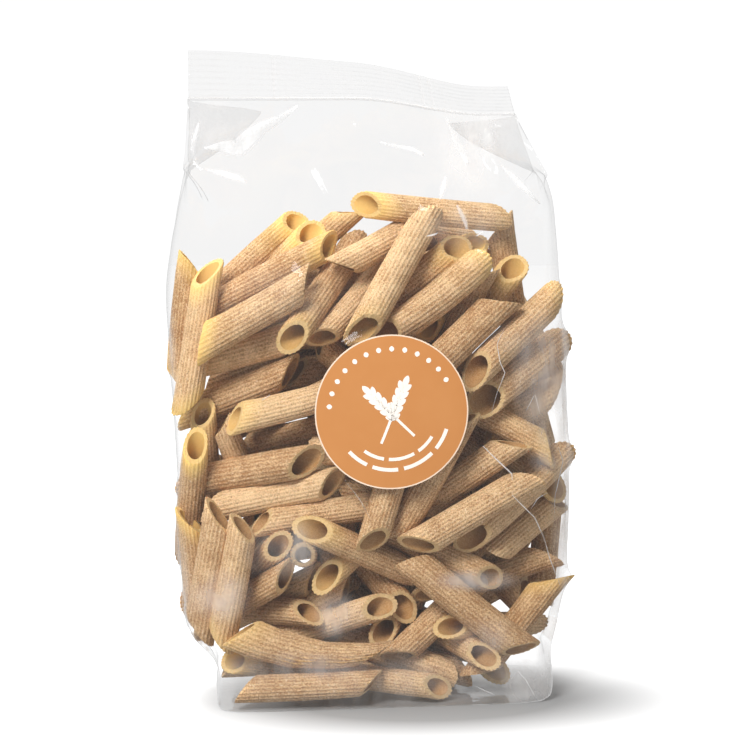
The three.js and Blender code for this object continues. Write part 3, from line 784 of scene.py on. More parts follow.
@dataclass(eq=False)
class Heap:
    """The loose penne, packed inside the film.

    The pieces that the photograph shows start where it shows them. The rest start at random places behind
    them, and all are then pushed apart until next to none runs through another. Where a line of sight
    would still pass right through the heap, one more is put far back.
    """

    form: BagForm
    view: PhotoView
    size: PenneSize
    # What the random numbers start from.
    seed: int = 11
    # How many pieces there are at first, how many each round adds, and how many places each one tries.
    started: int = 120
    added: int = 14
    rounds: int = 9
    tries: int = 500
    # How many small pushes settle the heap at first, in each round and at the end.
    steps: int = 300
    steps_after: int = 45
    steps_last: int = 12
    # The gap between pasta and film, the depth of one layer, and the gap above the floor, in mm.
    film_gap: float = 0.35
    layer: float = 8.6
    floor_gap: float = 0.7
    # Where along a piece it is kept inside the film, and how much of its breadth counts there.
    probes: tuple[float, ...] = (-0.11, 0.0, 0.25, 0.5, 0.75, 1.0, 1.11)
    room: tuple[float, ...] = (0.7, 1.0, 1.0, 1.0, 1.0, 1.0, 0.7)
    side_room: tuple[float, ...] = (0.2, 0.6, 0.85, 0.9, 0.85, 0.6, 0.2)
    # How hard two pieces push each other apart, and how little an unseen one moves a shown one.
    clearance: float = 0.1
    push: float = 0.6
    shown_share: float = 0.05
    most_push: float = 2.0
    # How much a shown piece gives to a push across the line of sight, and how hard it is pulled back,
    # at an end that shows and at one that is out of sight.
    shown_give: float = 0.08
    hidden_give: float = 0.6
    shown_pull: float = 0.3
    hidden_pull: float = 0.03
    kept_depth: float = 0.06
    # How far an unseen piece falls at each step, and how far a squeezed one slips down, in mm.
    fall: float = 0.04
    slip: float = 0.6
    # How far two pieces may overlap before one of them is taken away, in mm.
    crowded: float = 1.5
    # The box in which unseen pieces start, and how deep behind the front they stay, in mm.
    unseen_low: Point3 = (-60, -12, 7)
    unseen_high: Point3 = (52, 25, 150)
    unseen_depth: float = 11.0
    # How unevenly unseen pieces turn in the view and nod out of it.
    turn_spread: float = math.radians(38)
    nod_spread: float = math.radians(22)
    # How high and how low the heap reaches across the bag: x, then height, in mm.
    top_line: tuple[tuple[float, ...], tuple[float, ...]] = (
        (-66, -40, 0, 30, 38, 46, 56), (130, 138, 152, 150, 136, 124, 122))
    bottom_line: tuple[tuple[float, ...], tuple[float, ...]] = ((-60, -44, 33, 44), (16, 4, 4, 22))
    # How far inside the outline and inside the two faces a piece's ends start, in mm.
    edge_room: float = 4.0
    face_room: float = 3.0
    # The pixels that are tested for gaps, and how deep the pieces that close them lie, in mm.
    gap_rows: tuple[int, int] = (215, 690)
    gap_columns: tuple[int, int] = (180, 565)
    gap_step: int = 5
    gap_pieces: int = 80
    gap_depth: float = 8.0
    gap_shift: float = 17.0
    far_back: Point2 = (22.0, 46.0)
    # A piece hides nothing behind it when it is seen end on, nor at its open ends.
    end_on: float = 0.75
    open_end: float = 0.18
    # Extra room behind the label, and how far past its edge, in mm.
    label_room: float = 0.7
    label_reach: float = 3.0
    # The rings of points along a piece that shows and one that doesn't, as shares of its length.
    near_rings: tuple[float, ...] = (0.0, 0.012, 0.18, 0.5, 0.82, 0.988, 1.0)
    far_rings: tuple[float, ...] = (0.0, 0.015, 0.5, 0.985, 1.0)
    edge_rounding: float = 0.25
    # How far from a cut the painted glow of light shining through reaches, and how much pieces differ in
    # tone.
    thin_reach: float = 7.5
    tone: float = 0.54
    tone_spread: float = 0.13
    # How much pieces bend, in mm, how oval their ends are pressed, and how far along.
    bend: float = 0.4
    pinch: float = 0.14
    pinch_reach: float = 0.25
    # How wavy and rough a cut's rim is, how deep a chip and a nick are, and between how many places, in mm.
    wave: float = 0.18
    grit: float = 0.06
    chip: float = 1.1
    nick: float = 0.35
    bites: int = 15

    def __post_init__(self) -> None:
        """Packs the heap."""
        self.random = np.random.default_rng(self.seed)
        self.seen = len(SEEN)
        self.radii = np.array([piece.width / 2 / self.view.px_per_mm for piece in SEEN])
        self.starts, self.ends = self._seen_axes()
        self.home = np.stack([self.starts, self.ends])
        self.sight = unit(self.home - self.view.eye)
        hidden = np.array([[piece.hidden is end for piece in SEEN] for end in (START, FINISH)])[..., None]
        self.give = np.where(hidden, self.hidden_give, self.shown_give)
        self.pull = np.where(hidden, self.hidden_pull, self.shown_pull)
        self._add_unseen(self.started - self.seen)
        self._relax(self.steps)
        for _ in range(self.rounds):
            self._add_unseen(self.added)
            self._relax(self.steps_after)
            self._thin_out()
        self._close_gaps()
        self._relax(self.steps_last)
        strayed = self.view.pixels(self.starts[:self.seen]) - self.view.pixels(self.home[0])
        LOG.info("heap: %d pieces, the shown ones strayed %.1f pixels", len(self.starts),
                 np.linalg.norm(strayed, axis=1).mean())

    def _top(self, x: np.ndarray) -> np.ndarray:
        """How high the heap reaches across the bag."""
        return np.interp(x, *self.top_line)

    def _bottom(self, x: np.ndarray) -> np.ndarray:
        """How low the heap reaches across the bag: the bottom corners stay empty."""
        return np.interp(x, *self.bottom_line)

    def _seen_axes(self) -> tuple[np.ndarray, np.ndarray]:
        """Both ends of each piece that the photograph shows."""
        depth = self.radii + self.film_gap + np.array([piece.layer for piece in SEEN]) * self.layer
        starts = self.view.onto_front(self.form, np.array([piece.start for piece in SEEN], float), depth)
        ends = self.view.onto_front(self.form, np.array([piece.finish for piece in SEEN], float), depth)
        for i, piece in enumerate(SEEN):
            span = ends[i] - starts[i]
            dive = math.radians(piece.dive)
            inwards = np.array([0, math.sin(dive), 0])
            length = self.random.normal(self.size.length, 0.9)
            if piece.hidden is FINISH:
                ends[i] = starts[i] + (unit(span) * math.cos(dive) + inwards) * length
            elif piece.hidden is START:
                starts[i] = ends[i] + (unit(-span) * math.cos(dive) + inwards) * length
        return starts, ends

    def _add_unseen(self, count: int) -> None:
        """Adds pieces behind the shown ones, each in the roomiest of many random places."""
        for _ in range(count):
            middles = self.random.uniform(self.unseen_low, self.unseen_high, (self.tries, 3))
            self._place_roomiest(middles, self._headings())

    def _place_roomiest(self, middles: np.ndarray, headings: np.ndarray) -> None:
        """Adds one unseen piece.

        Args:
            middles: the places that its middle may take, in mm.
            headings: the direction that it has at each.
        """
        half = headings * self.size.length / 2
        fits = self._holds(middles - half) & self._holds(middles + half)
        if not fits.any():
            return
        room = self._room_at(middles - half, middles + half)
        best = int(np.argmax(np.where(fits, room, -np.inf)))
        self.starts = np.vstack([self.starts, middles[best] - half[best]])
        self.ends = np.vstack([self.ends, middles[best] + half[best]])
        self.radii = np.append(self.radii, self.random.normal(self.size.radius, 0.1))

    def _close_gaps(self) -> None:
        """Adds pieces far back where the photograph's line of sight would pass right through the heap."""
        ranges = (np.arange(*span, self.gap_step) for span in (self.gap_rows, self.gap_columns))
        rows, columns = np.meshgrid(*ranges, indexing="ij")
        px = np.stack([columns, rows], axis=-1).reshape(-1, 2).astype(float)
        places = self.view.onto_front(self.form, px, np.full(len(px), self.gap_depth))
        px = px[self._holds(places)]
        for _ in range(self.gap_pieces):
            bare = self._bare(px)
            widest = int(np.argmax(bare))
            if bare[widest] < 1:
                return
            depth = self.random.uniform(*self.far_back, self.tries)
            aimed = np.repeat(px[widest][None], self.tries, axis=0)
            middles = self.view.onto_front(self.form, aimed, depth)
            headings = self._headings()
            shift = self.random.uniform(-self.gap_shift, self.gap_shift, self.tries)
            self._place_roomiest(middles + headings * shift[:, None], headings)
            px = np.delete(px, widest, axis=0)

    def _bare(self, px: np.ndarray) -> np.ndarray:
        """How far each pixel is from the nearest piece that hides what is behind it, in pixels."""
        first, second = self.view.pixels(self.starts), self.view.pixels(self.ends)
        bare = np.full(len(px), np.inf)
        slanted = np.abs(unit(self.ends - self.starts) @ self.view.back) < self.end_on
        for start, end, radius in zip(first[slanted], second[slanted], self.radii[slanted]):
            inset = (end - start) * self.open_end
            gap = distance_to_path(px, np.stack([start + inset, end - inset]))
            bare = np.minimum(bare, gap - radius * self.view.px_per_mm)
        return bare

    def _headings(self) -> np.ndarray:
        """A random direction for each try, mostly across the bag."""
        turn = self.random.normal(0, self.turn_spread, self.tries)
        nod = self.random.normal(0, self.nod_spread, self.tries)
        return np.stack([np.cos(turn) * np.cos(nod), np.sin(nod), np.sin(turn) * np.cos(nod)], axis=1)

    def _holds(self, points: np.ndarray) -> np.ndarray:
        """Whether the bag reaches round these points."""
        x, y, z = points.T
        left = self.form.outline("left", z) + self.edge_room
        right = self.form.outline("right", z) - self.edge_room
        low, high = (self.form.look_up(self.form.faces[side], x, z) for side in (0, 1))
        between_faces = (y > low + self.face_room) & (y < high - self.face_room)
        between_levels = (z > self._bottom(x)) & (z < self._top(x) - self.edge_room)
        return (x > left) & (x < right) & between_faces & between_levels

    def _room_at(self, starts: np.ndarray, ends: np.ndarray) -> np.ndarray:
        """How much room there is round each of these axes, less where it is negative."""
        count = len(self.starts)
        first, second = np.divmod(np.arange(len(starts) * count), count)
        others = (self.starts[second], self.ends[second])
        gap = self._nearest((starts[first], ends[first]), others)[2]
        room = np.linalg.norm(gap, axis=1) - self.radii[second] - self.size.radius
        return room.reshape(len(starts), count).min(axis=1)

    def _relax(self, steps: int) -> None:
        """Pushes the pieces apart and back into the bag, a little at a time.

        A shown piece moves freely along the line of sight, where it shows least, and little across it.
        """
        first, second = np.triu_indices(len(self.starts), 1)
        lengths = np.linalg.norm(self.ends - self.starts, axis=1)[:, None]
        for _ in range(steps):
            push = np.clip(self._apart(first, second), -self.most_push, self.most_push)
            for end, axis in enumerate((self.starts, self.ends)):
                sight, pull = self.sight[end], self.pull[end]
                shown = push[end, :self.seen]
                along = (shown * sight).sum(axis=1, keepdims=True) * sight
                astray = self.home[end] - axis[:self.seen]
                deeper = (astray * sight).sum(axis=1, keepdims=True) * sight
                axis[self.seen:] += push[end, self.seen:] - [0, 0, self.fall]
                axis[:self.seen] += along + (shown - along) * self.give[end]
                axis[:self.seen] += (astray - deeper) * pull + deeper * self.kept_depth * pull
            middle = (self.starts + self.ends) / 2
            half = unit(self.ends - self.starts) * lengths / 2
            self.starts, self.ends = middle - half, middle + half
            self._inside()

    def _thin_out(self) -> None:
        """Takes away the unseen pieces that found no room."""
        first, second = np.triu_indices(len(self.starts), 1)
        axes = (self.starts[first], self.ends[first]), (self.starts[second], self.ends[second])
        gap = self._nearest(*axes)[2]
        overlap = self.radii[first] + self.radii[second] - np.linalg.norm(gap, axis=1)
        kept = np.ones(len(self.starts), bool)
        for pair in np.argsort(-overlap):
            a, b = first[pair], second[pair]
            if b >= self.seen and overlap[pair] > self.crowded and kept[a] and kept[b]:
                kept[b] = False
        self.starts, self.ends, self.radii = self.starts[kept], self.ends[kept], self.radii[kept]

    @staticmethod
    def _nearest(first: tuple[np.ndarray, np.ndarray], second: tuple[np.ndarray, np.ndarray],
                 ) -> tuple[np.ndarray, ...]:
        """Where pairs of axes come closest.

        Args:
            first: the starts and the ends of one axis of each pair, in mm.
            second: the starts and the ends of the other.

        Returns:
            The share along each axis, and the gap from the second to the first.
        """
        a, b = first[0], second[0]
        along_a, along_b = first[1] - a, second[1] - b
        between = a - b
        aa, bb = (along_a ** 2).sum(1), (along_b ** 2).sum(1)
        ab, ar, br = (along_a * along_b).sum(1), (along_a * between).sum(1), (along_b * between).sum(1)
        lean = np.maximum(aa * bb - ab * ab, 1e-6)
        share_a = np.clip((ab * br - bb * ar) / lean, 0, 1)
        share_b = np.clip((ab * share_a + br) / bb, 0, 1)
        share_a = np.clip((ab * share_b - ar) / aa, 0, 1)
        gap = a + share_a[:, None] * along_a - b - share_b[:, None] * along_b
        return share_a, share_b, gap

    def _apart(self, first: np.ndarray, second: np.ndarray) -> np.ndarray:
        """How far each piece's two ends move to clear the pieces that they run into."""
        share_a, share_b, gap = self._nearest((self.starts[first], self.ends[first]),
                                              (self.starts[second], self.ends[second]))
        distance = np.linalg.norm(gap, axis=1)
        overlap = self.radii[first] + self.radii[second] + self.clearance - distance
        hit = overlap > 0
        first, second, share_a, share_b = first[hit], second[hit], share_a[hit], share_b[hit]
        push = unit(gap[hit]) * (overlap[hit] * self.push)[:, None]
        own_part = np.where((first < self.seen) & (second >= self.seen), self.shown_share, 0.5)
        pushes = np.zeros((2, len(self.starts), 3))
        for piece, share, part in ((first, share_a, own_part), (second, share_b, own_part - 1)):
            np.add.at(pushes[0], piece, push * (part * (1.3 - share))[:, None])
            np.add.at(pushes[1], piece, push * (part * (0.3 + share))[:, None])
        return pushes

    def _inside(self) -> None:
        """Keeps every piece inside the film, above the floor and under the top of the heap."""
        breadth = np.sqrt(1.02 - unit(self.ends - self.starts) ** 2) * self.radii[:, None]
        for share, faces, sides in zip(self.probes, self.room, self.side_room):
            point = self.starts + (self.ends - self.starts) * share
            x, z = point[:, 0], point[:, 2]
            room = breadth[:, 1] * faces + self.film_gap
            side_room = breadth[:, 0] * sides + self.film_gap
            from_label = np.hypot(x - LABEL_CENTRE[0], z - LABEL_CENTRE[1])
            behind_label = from_label < LABEL_RADIUS + self.label_reach
            low = self.form.look_up(self.form.faces[0], x, z) + behind_label * self.label_room
            low = low + room * self.form.look_up(self.form.steepness[0], x, z)
            high = self.form.look_up(self.form.faces[1], x, z)
            high = high - room * self.form.look_up(self.form.steepness[1], x, z)
            middle = (low + high) / 2
            low[self.seen:] += self.unseen_depth
            y = np.clip(point[:, 1], np.minimum(low, middle), np.maximum(high, middle))
            left = self.form.outline("left", z) + side_room
            right = self.form.outline("right", z) - side_room
            height = np.maximum(z, breadth[:, 2] + self.floor_gap)
            top = self._top(x) - self.radii
            height[self.seen:] = np.clip(height, self._bottom(x), top)[self.seen:]
            height = np.where(low > high, height - self.slip, height)
            move = np.stack([np.clip(x, left, right), y, height], axis=1) - point
            near_end = np.clip(share, 0, 1)
            self.starts += move * (1 - near_end)
            self.ends += move * near_end

    def _turn_of_cut(self, index: int) -> float:
        """The angle round a piece at which its start is cut shortest."""
        if index >= self.seen:
            return self.random.uniform(0, math.tau)
        return math.radians(SEEN[index].cut) + self.random.normal(0, 0.12)

    def make(self, material: bpy.types.Material) -> bpy.types.Object:
        """Makes all the pieces as one mesh."""
        draft = MeshDraft()
        for i in range(len(self.starts)):
            self._add_piece(draft, i)
        penne = draft.build("penne", material)
        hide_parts("bag")
        return penne

    def _ragged(self, angle: np.ndarray, turn: float, chipped: bool) -> np.ndarray:
        """How far each end's rim is worn or broken away at each angle round it, in mm."""
        random = self.random
        rims = []
        for _ in range(2):
            wave = self.wave * np.sin(2 * angle + random.uniform(0, 6))
            wave = wave + random.normal(0, self.grit, len(angle))
            places = np.linspace(0, math.tau, self.bites)
            bites = np.interp(angle % math.tau, places, random.uniform(0, 1, self.bites))
            side = np.cos(angle - turn - random.normal(0, 0.6))
            depth = self.chip if chipped else random.choice([0.0, 0.0, self.nick])
            rims.append(wave - depth * bites * smooth(side * 0.5 + 0.45))
        return np.array([-rims[0], rims[1]])

    def _add_piece(self, draft: MeshDraft, index: int) -> None:
        """Adds one piece: the ridged outside, the two cut rims and the bore."""
        size, random = self.size, self.random
        near = index < self.seen
        facts = SEEN[index] if near else Seen((0, 0), (0, 0), 0)
        ridges, steps = (size.ridges, 4) if near else (size.ridges - 4, 2)
        start, radius = self.starts[index], self.radii[index]
        length = float(np.linalg.norm(self.ends[index] - start))
        heading = unit(self.ends[index] - start)
        facing = unit(self.view.back - heading * (self.view.back @ heading))
        across = np.cross(heading, facing)
        turn = self._turn_of_cut(index)
        count = steps * ridges
        angle = math.tau * np.arange(count) / count
        crest = 0.5 + 0.5 * np.cos(math.tau * np.arange(count) / steps)
        angle = angle + random.uniform(0, 1)
        slope = math.tan(size.slant + random.normal(0, 0.05))
        ragged = self._ragged(angle, turn, facts.chipped)
        shares = np.array(self.near_rings if near else self.far_rings)
        rounding = np.where((shares == 0) | (shares == 1), self.edge_rounding, 0.0)
        bend, bend_angle = random.normal(0, self.bend), random.uniform(0, math.tau)
        pinch, pinch_angle = random.uniform(0.0, self.pinch, 2), random.uniform(0, math.pi)

        def rings(at: np.ndarray, ring_radius: np.ndarray) -> np.ndarray:
            """Rings of points at these shares of the length."""
            reach = self.pinch_reach
            flat = pinch[0] * smooth(1 - at / reach) + pinch[1] * smooth((at - 1 + reach) / reach)
            r = ring_radius * (1 + flat[:, None] * np.cos(2 * (angle - pinch_angle))[None] * 0.8)
            along = at[:, None]
            worn = np.where(along < 0.5, ragged[0] * (1 - along) ** 8, ragged[1] * along ** 8)
            axial = along * length + np.cos(angle - turn)[None] * r * slope + worn
            curve = 4 * at * (1 - at)
            side = r * np.cos(angle)[None] + curve[:, None] * bend * math.cos(bend_angle)
            lift = r * np.sin(angle)[None] + curve[:, None] * bend * math.sin(bend_angle)
            points = start + axial[..., None] * heading + side[..., None] * facing + lift[..., None] * across
            return points - curve[:, None, None] * np.array([0, 0, facts.sag])

        def thinness(at: np.ndarray) -> np.ndarray:
            """How strong the golden painted glow is at each point, at these shares of the length."""
            fade = np.stack([1 - at * length / self.thin_reach, 1 - (1 - at) * length / self.thin_reach])
            return np.repeat((np.clip(fade, 0, 1) * np.array(facts.thin)[:, None]).max(axis=0), count)

        outer = radius - size.ridge_depth * (1 - crest)
        skin = rings(shares, outer[None] - rounding[:, None])
        within = np.array([0.0, 0.5, 1.0])
        inner = rings(within, np.full((3, count), radius - size.wall - 0.1 * random.random()))
        tone = float(np.clip(random.normal(self.tone, self.tone_spread), 0.2, 0.85))
        # ridge marks the crests, which the finish paints lighter as a painted highlight.
        draft.add(skin, [grid_faces(len(shares), count, wrapped=True)], tone=tone, bore=0.0,
                  thin=thinness(shares), cut=np.repeat((rounding > 0) * 0.5, count),
                  ridge=np.tile(crest, len(shares)))
        draft.add(inner, [grid_faces(3, count, wrapped=True, flipped=True)], tone=tone, bore=1.0, cut=0.0,
                  thin=thinness(within), ridge=0.5)
        # The cut rims carry part of the painted glow too.
        for end, glow in ((0, facts.thin[0]), (-1, facts.thin[1])):
            rim = np.stack([skin[end], inner[end]])
            draft.add(rim, [grid_faces(2, count, wrapped=True, flipped=end == 0)], rounded=False, tone=tone,
                      bore=0.0, cut=1.0, thin=glow * 0.6, ridge=0.5)


@dataclass(frozen=True)
class Crease:
    """A fold in the front film.

    Args:
        path: the pixels that it passes.
        height: how far it stands out, in mm, or how deep it is where negative.
        width: from its ridge to where it ends, in mm.
        glint: how wide the painted highlight line on its ridge is, in mm.
        veil: how white that painted highlight line is.
    """

    path: tuple[Point2, ...]
    height: float = 0.5
    width: float = 2.2
    glint: float = 0.0
    veil: float = 0.7


@dataclass(frozen=True)
class PaintedGlint:
    """A painted highlight on the front film, a smooth white patch: pixels along its middle, with its width in
    pixels at each.
    """

    path: tuple[tuple[float, float, float], ...]
    veil: float = 0.8


@dataclass(frozen=True)
class PaintedReflection:
    """A patch of painted reflection on the front film, drawn milky white: its middle and reach in pixels, and
    how white it is.
    """

    middle: Point2
    reach: Point2
    veil: float


# Folds shaped in the film; where glint is set, a painted highlight line lies on the fold's ridge.
CREASES = (
    Crease(((205, 148), (222, 138), (248, 130), (277, 116), (307, 103)), 1.2, 4.0),
    Crease(((225, 154), (236, 160), (260, 144), (289, 122), (307, 103)), -1.0, 4.0),
    Crease(((225, 110), (203, 121), (195, 132), (191, 145), (191, 157), (206, 172), (233, 181)), 0.9, 3.0),
    Crease(((367, 97), (375, 108), (366, 119), (350, 137)), 0.6, 2.5),
    Crease(((423, 105), (414, 122), (399, 119)), 0.5, 1.6),
    Crease(((375, 143), (398, 147), (423, 156), (434, 151)), 0.5, 2.0),
    Crease(((444, 115), (454, 142), (468, 162)), 0.9, 4.0),
    Crease(((492, 108), (492, 157), (498, 169), (498, 210)), 0.8, 2.6),
    Crease(((450, 173), (439, 200)), 0.5, 2.0),
    Crease(((492, 156), (509, 173), (522, 189), (541, 205)), 0.9, 3.0),
    Crease(((457, 205), (462, 213), (468, 226)), 0.5, 1.6),
    Crease(((504, 329), (497, 344), (500, 362), (505, 373), (497, 393), (491, 414)), 0.5, 1.8, 0.3),
    Crease(((526, 411), (535, 394), (540, 414)), 0.5, 1.8, 0.3),
    Crease(((483, 446), (495, 458), (512, 474), (512, 480)), 0.5, 1.8, 0.5),
    Crease(((512, 495), (523, 506), (535, 518), (544, 538), (550, 559), (560, 585)), 0.6, 2.0, 0.45),
    Crease(((531, 509), (538, 498), (547, 493)), 0.4, 1.6, 0.3),
    Crease(((557, 443), (563, 461), (555, 496), (554, 519)), 0.7, 2.2, 0.35),
    Crease(((517, 670), (526, 680), (537, 700)), 0.6, 2.0, 0.35),
    Crease(((475, 686), (490, 693), (500, 697)), 0.4, 1.6, 0.35),
    Crease(((262, 400), (270, 395)), 0.3, 1.2, 0.7),
    Crease(((345, 480), (360, 500), (370, 518)), 0.3, 1.6, 0.25, 0.4),
)
# Painted highlights: smooth white patches laid on the front film.
PAINTED_GLINTS = (
    PaintedGlint(((204, 148, 2), (222, 147, 13), (238, 148, 22), (250, 138, 22), (262, 128, 14), (280, 119, 9),
           (298, 106, 3))),
    PaintedGlint(((206, 169, 2), (222, 173, 8), (238, 178, 9), (246, 182, 2)), 0.5),
    PaintedGlint(((199, 122, 2), (195, 136, 5), (192, 150, 5), (198, 166, 3)), 0.35),
    PaintedGlint(((371, 98, 3), (370, 107, 12), (362, 118, 10), (355, 132, 7), (349, 146, 2)), 0.75),
    PaintedGlint(((423, 106, 2), (417, 116, 6), (413, 128, 7), (413, 142, 6), (420, 153, 5), (432, 152, 2)), 0.5),
    PaintedGlint(((380, 142, 2), (396, 146, 4), (412, 149, 5), (424, 155, 3)), 0.5),
    PaintedGlint(((446, 176, 2), (443, 188, 7), (440, 200, 3)), 0.45),
    PaintedGlint(((446, 118, 2), (452, 130, 6), (460, 148, 9), (468, 164, 4)), 0.3),
    PaintedGlint(((500, 164, 2), (512, 176, 8), (526, 190, 7), (540, 204, 2)), 0.35),
    PaintedGlint(((457, 205, 3), (461, 213, 6), (465, 221, 6), (467, 229, 3)), 0.45),
    PaintedGlint(((427, 236, 1), (433, 235, 3), (438, 233, 1)), 0.5),
    PaintedGlint(((476, 236, 1), (480, 234, 3), (483, 231, 1)), 0.5),
)
# Patches of painted reflection on the front film, drawn as milky white.
PAINTED_REFLECTIONS = (
    PaintedReflection((216, 597), (25, 20), 0.34),
    PaintedReflection((551, 461), (14, 10), 0.25),
    PaintedReflection((478, 583), (34, 8), 0.38),
    PaintedReflection((340, 620), (20, 18), 0.30),
    PaintedReflection((410, 690), (150, 34), 0.13),
    PaintedReflection((535, 680), (34, 30), 0.3),
    PaintedReflection((300, 668), (78, 12), 0.26),
    PaintedReflection((567, 510), (8, 56), 0.22),
    PaintedReflection((287, 552), (34, 22), 0.36),
    PaintedReflection((483, 640), (26, 16), 0.26),
    PaintedReflection((553, 378), (26, 48), 0.42),
    PaintedReflection((556, 425), (14, 26), 0.3),
    PaintedReflection((515, 340), (16, 12), 0.12),
    PaintedReflection((270, 300), (60, 30), 0.07),
    PaintedReflection((470, 225), (40, 20), 0.16),
    PaintedReflection((474, 138), (34, 48), 0.36),
    PaintedReflection((215, 130), (30, 34), 0.15),
)


@dataclass(eq=False)
class Film:
    """The film skin of the bag, the painted highlights on its folds and its leaning heat seal."""

    form: BagForm
    view: PhotoView
    # The height of a row of points in mm, and how many points go round.
    row: float = 1.0
    columns: int = 330
    # The folded base: its rings of points as shares of its outline, how milky it is, and its height in mm.
    base_rings: tuple[float, ...] = (0.985, 0.9, 0.7, 0.45, 0.2)
    base_veil: float = 0.08
    base_lift: float = 0.05
    # How close the film comes to the pasta, and how far out and in it is tested for that, in mm.
    clear: float = 0.16
    probe_out: float = 8.0
    probe_in: float = 14.0
    # How slack it can get at the sides and at the two faces, in mm.
    sag_at_sides: float = 1.2
    sag_at_faces: float = 4.2
    # How steeply it may fall away from the label's edge, and how far it stands out under it, in mm.
    label_slope: float = 0.3
    under_label: float = 0.5
    label_blend: float = 3.0
    # The back counts as this far from the label, in mm.
    on_the_back: float = 200.0
    # Up to what height it rests on pasta, and how often and how hard it is pulled tight.
    contact_top: float = 160.0
    tension_steps: int = 900
    load: float = 0.006
    # Its long ripples, and how often its folds are evened out.
    ripple_seed: int = 3
    ripple_length: float = 26.0
    ripple_height: float = 0.25
    evenings: int = 2
    # The painted highlight lines: the step along them in pixels, and how far in front of the film they lie,
    # in mm.
    glint_step_px: float = 3.0
    glint_lift: float = 0.1
    glint_thickness: float = 0.06
    # The heat seal: its columns and rows of points, and its sizes in mm.
    strip_columns: int = 205
    strip_rows: int = 97
    strip_thickness: float = 0.3
    strip_inset: float = 0.2
    strip_overlap: float = 0.6
    rib_height: float = 0.16
    # Where the edges of the folded gussets are pressed into the seal, in mm across.
    fold_edges: tuple[float, ...] = (-34.0, 12.5, 15.5)
    fold_edge_height: float = 0.2
    # Small folds that run down from the seal.
    wrinkles: int = 46
    wrinkle_seed: int = 5
    wrinkle_height: float = 0.35
    # The crease round the foot of the bag, in mm.
    waist_depth: float = 0.9
    waist_reach: float = 2.5

    def __post_init__(self) -> None:
        """Lays out the skin's points by their height and their share of the way round."""
        heights = np.arange(0, SEAL_FOOT + self.row / 2, self.row)
        shares = np.arange(self.columns) / self.columns
        self.heights, self.shares = np.meshgrid(heights, shares, indexing="ij")

    def _limits(self, penne: bpy.types.Object) -> np.ndarray:
        """How deep the film can go before it touches a piece of pasta, or is as slack as it gets."""
        mesh = penne.data
        points = np.empty(len(mesh.vertices) * 3)
        mesh.vertices.foreach_get("co", points)
        faces = [tuple(polygon.vertices) for polygon in mesh.polygons]
        tree = BVHTree.FromPolygons((points.reshape(-1, 3) / MM).tolist(), faces)
        inward = self.form.inward_at(self.heights, self.shares)
        to_faces = np.abs(inward[..., 1]) ** 2
        limits = self.sag_at_sides + (self.sag_at_faces - self.sag_at_sides) * to_faces
        origins = self.form.place(self.heights, self.shares) - inward * self.probe_out
        for row in range(2, int(self.contact_top / self.row)):
            for column in range(self.columns):
                hit = tree.ray_cast(origins[row, column], inward[row, column], self.probe_out + self.probe_in)
                if hit[0] is not None:
                    limits[row, column] = min(limits[row, column], hit[3] - self.probe_out - self.clear)
        return limits

    def _beside(self, depth: np.ndarray) -> np.ndarray:
        """The depths of the four places round each place, added up, with level places past the ends."""
        level = np.zeros((1, self.columns))
        above, below = np.vstack([depth[1:], level]), np.vstack([level, depth[:-1]])
        return above + below + np.roll(depth, 1, axis=1) + np.roll(depth, -1, axis=1)

    def _tighten(self, limits: np.ndarray) -> np.ndarray:
        """The depth of a tight skin that rests on what is inside it."""
        filled = smooth((self.heights - 3) / 6) * smooth((self.contact_top - self.heights) / 22)
        load = self.load * filled
        depth = np.minimum(limits, 0.0)
        for _ in range(self.tension_steps):
            depth = np.minimum(self._beside(depth) / 4 + load, limits)
            depth[:2] = 0
            depth[-1] = 0
        return depth

    def _front_folds(self, points: np.ndarray) -> tuple[np.ndarray, np.ndarray]:
        """How far the creases of the front raise the film, and how milky white its patches of painted
        reflection make it.
        """
        px = self.view.pixels(points)
        facing = (self.shares < 0.25) | (self.shares > 0.75)
        raised, veil = np.zeros(self.heights.shape), np.zeros(self.heights.shape)
        for crease in CREASES:
            gap = distance_to_path(px, np.array(crease.path, float)) / self.view.px_per_mm
            raised += crease.height * np.clip(1 - gap / crease.width, 0, 1)
        for reflection in PAINTED_REFLECTIONS:
            reach = np.hypot(*((px - reflection.middle) / reflection.reach).transpose(2, 0, 1))
            veil = np.maximum(veil, reflection.veil * smooth(1.25 - reach * 0.75))
        return raised * facing, veil * facing

    def _wrinkles(self) -> np.ndarray:
        """Small folds that run down from the seal and round the shoulders on every side."""
        random = np.random.default_rng(self.wrinkle_seed)
        around = self.shares * TUBE_GIRTH
        raised = np.zeros(self.heights.shape)
        for _ in range(self.wrinkles):
            start = np.array([random.uniform(0, TUBE_GIRTH), random.uniform(150, 186)])
            lean = random.normal(0, 0.6)
            end = start + random.uniform(14, 40) * np.array([math.sin(lean), -math.cos(lean)])
            sign, width = random.choice([-1, 1]), random.uniform(2, 5)
            for shift in (-TUBE_GIRTH, 0, TUBE_GIRTH):
                places = np.stack([around + shift, self.heights], axis=-1)
                gap = distance_to_path(places, np.stack([start, end]))
                raised += sign * self.wrinkle_height * np.clip(1 - gap / width, 0, 1)
        return raised

